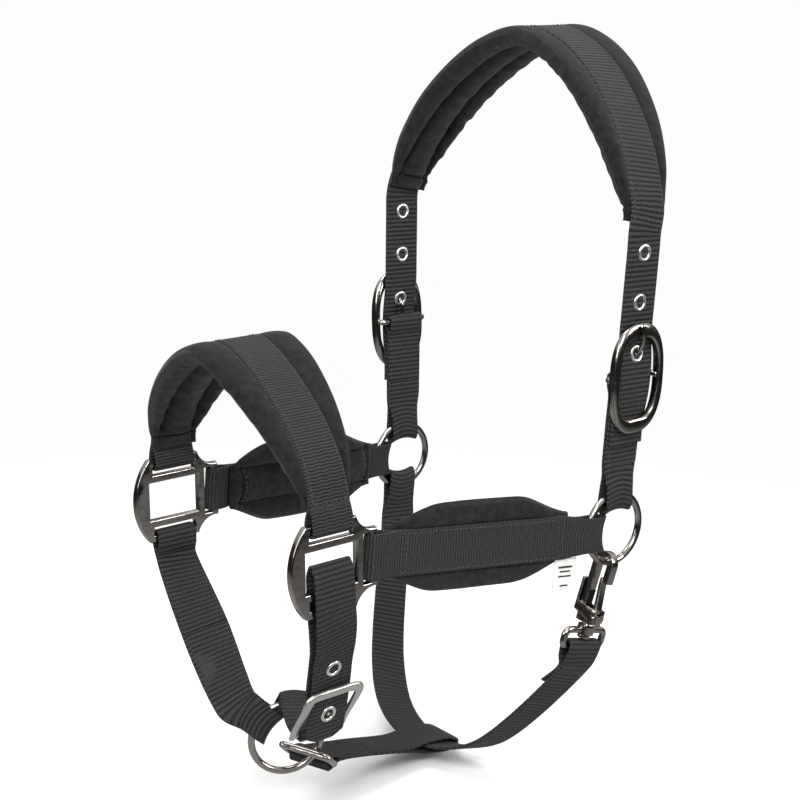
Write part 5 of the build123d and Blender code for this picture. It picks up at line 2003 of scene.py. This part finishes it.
class Studio:
    """Pale floor, soft lights and the camera."""

    def build(self) -> None:
        """Build the floor, lights, world and camera."""
        scene = bpy.context.scene
        low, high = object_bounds()
        self.floor(low.z - 0.004)
        middle = (low + high) / 2
        for light in SOFTBOXES:
            self.softbox(light, middle)
        self.world(scene)
        self.camera(scene)
        scene.render.resolution_x = scene.render.resolution_y = 800
        scene.view_settings.view_transform = "Standard"

    def floor(self, height: float) -> None:
        """Large pale floor: white far off, and dim where metal mirrors it.

        Args:
            height: Height of the floor in metres.
        """
        bpy.ops.mesh.primitive_plane_add(size=160.0, location=(0, 0, height))
        plane = bpy.context.object
        plane.name = "floor"
        material = bpy.data.materials.new("floor")
        material.use_nodes = True
        tree = material.node_tree
        shader = tree.nodes["Principled BSDF"]
        shader.inputs["Base Color"].default_value = (0.9, 0.9, 0.9, 1.0)
        shader.inputs["Roughness"].default_value = 0.9
        shader.inputs["Specular IOR Level"].default_value = 0.0
        reach = tree.nodes.new("ShaderNodeVectorMath")
        reach.operation = "LENGTH"
        tree.links.new(tree.nodes.new("ShaderNodeTexCoord").outputs["Object"], reach.inputs[0])
        fade = tree.nodes.new("ShaderNodeMapRange")
        fade.interpolation_type = "SMOOTHSTEP"
        fade.inputs["From Min"].default_value = 0.25
        fade.inputs["From Max"].default_value = 0.85
        tree.links.new(reach.outputs["Value"], fade.inputs["Value"])
        rays = tree.nodes.new("ShaderNodeLightPath")
        share = tree.nodes.new("ShaderNodeMath")
        share.operation = "MULTIPLY"
        tree.links.new(fade.outputs["Result"], share.inputs[0])
        tree.links.new(rays.outputs["Is Camera Ray"], share.inputs[1])
        white = tree.nodes.new("ShaderNodeEmission")
        white.inputs["Color"].default_value = (0.98, 0.98, 0.98, 1.0)
        faded = tree.nodes.new("ShaderNodeMixShader")
        tree.links.new(share.outputs[0], faded.inputs["Fac"])
        tree.links.new(shader.outputs[0], faded.inputs[1])
        tree.links.new(white.outputs[0], faded.inputs[2])
        dim = tree.nodes.new("ShaderNodeEmission")
        rings = tree.nodes.new("ShaderNodeMapRange")
        rings.inputs["From Min"].default_value = 0.15
        rings.inputs["From Max"].default_value = 0.75
        rings.inputs["To Min"].default_value = 0.5
        rings.inputs["To Max"].default_value = 0.03
        tree.links.new(reach.outputs["Value"], rings.inputs["Value"])
        tree.links.new(rings.outputs["Result"], dim.inputs["Strength"])
        seen = tree.nodes.new("ShaderNodeMixShader")
        tree.links.new(rays.outputs["Is Glossy Ray"], seen.inputs["Fac"])
        tree.links.new(faded.outputs[0], seen.inputs[1])
        tree.links.new(dim.outputs[0], seen.inputs[2])
        tree.links.new(seen.outputs[0], tree.nodes["Material Output"].inputs["Surface"])
        plane.data.materials.append(material)
        plane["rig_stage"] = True

    def softbox(self, light: Softbox, target: Vector) -> None:
        """One square area light.

        Args:
            light: Its size, place and power.
            target: What it is aimed at.
        """
        data = bpy.data.lights.new(light.name, "AREA")
        data.shape = "SQUARE"
        data.size = light.size
        data.energy = light.power
        data.color = light.colour
        lamp = bpy.data.objects.new(light.name, data)
        lamp.location = light.place
        lamp.rotation_euler = (target - Vector(light.place)).to_track_quat("-Z", "Y").to_euler()
        bpy.context.scene.collection.objects.link(lamp)
        lamp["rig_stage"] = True

    def world(self, scene: bpy.types.Scene) -> None:
        """Pale surroundings: white to the camera, banded where metal mirrors them.

        What lights the object is bright overhead and dark at the horizon, so
        polished wire shows dark and light bands along its length.

        Args:
            scene: Scene that gets it.
        """
        world = bpy.data.worlds.new("studio")
        world.use_nodes = True
        tree = world.node_tree
        back = tree.nodes["Background"]
        place = tree.nodes.new("ShaderNodeTexCoord").outputs["Generated"]
        parts = tree.nodes.new("ShaderNodeSeparateXYZ")
        tree.links.new(place, parts.inputs[0])
        bands = tree.nodes.new("ShaderNodeValToRGB")
        stops = bands.color_ramp.elements
        stops[0].position, stops[0].color = 0.0, (0.55, 0.55, 0.55, 1)
        stops[1].position, stops[1].color = 1.0, (0.75, 0.75, 0.75, 1)
        for where, shade in ((0.42, 0.5), (0.47, 0.06), (0.60, 0.05), (0.66, 0.55), (0.8, 0.9)):
            stop = stops.new(where)
            stop.color = (shade, shade, shade, 1)
        half = tree.nodes.new("ShaderNodeMapRange")
        half.inputs["From Min"].default_value = -1.0
        tree.links.new(parts.outputs[2], half.inputs["Value"])
        tree.links.new(half.outputs["Result"], bands.inputs["Fac"])
        paths = tree.nodes.new("ShaderNodeLightPath")
        seen, diffuse = paths.outputs["Is Camera Ray"], paths.outputs["Is Diffuse Ray"]
        mix = tree.nodes.new("ShaderNodeMix")
        mix.data_type = "RGBA"
        tree.links.new(seen, mix.inputs["Factor"])
        tree.links.new(bands.outputs["Color"], mix.inputs[6])
        mix.inputs[7].default_value = (0.98, 0.98, 0.98, 1.0)
        tree.links.new(mix.outputs[2], back.inputs["Color"])
        soft = tree.nodes.new("ShaderNodeMapRange")
        soft.inputs["To Min"].default_value = 1.0
        soft.inputs["To Max"].default_value = 0.5
        tree.links.new(diffuse, soft.inputs["Value"])
        tree.links.new(soft.outputs["Result"], back.inputs["Strength"])
        scene.world = world

    def camera(self, scene: bpy.types.Scene) -> None:
        """Camera in front of the horse's left side, slightly above the headcollar.

        Args:
            scene: Scene that gets it.
        """
        data = bpy.data.cameras.new("camera")
        data.lens = 75.14
        data.sensor_width = 36.0
        data.clip_start = 0.02
        data.clip_end = 30.0
        data.dof.use_dof = False
        camera = bpy.data.objects.new("camera", data)
        camera.location = (-0.4703, -0.7144, 0.19615)
        camera.rotation_euler = (math.radians(75.6), 0.0, math.radians(-38.9))
        scene.collection.objects.link(camera)
        scene.camera = camera


def write_sizes() -> None:
    """Update the view layer.
    """
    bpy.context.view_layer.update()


def main() -> None:
    """Build every assembly in order, then the studio."""
    logging.basicConfig(level=logging.INFO, format="%(message)s")
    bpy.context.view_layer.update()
    painter = Painter()
    for maker in (Castings, Crown, Noseband, Cheekpieces, ChinGear, Throat, Label):
        maker(painter).build()
    write_sizes()
    Studio().build()


if __name__ == "__main__":
    main()
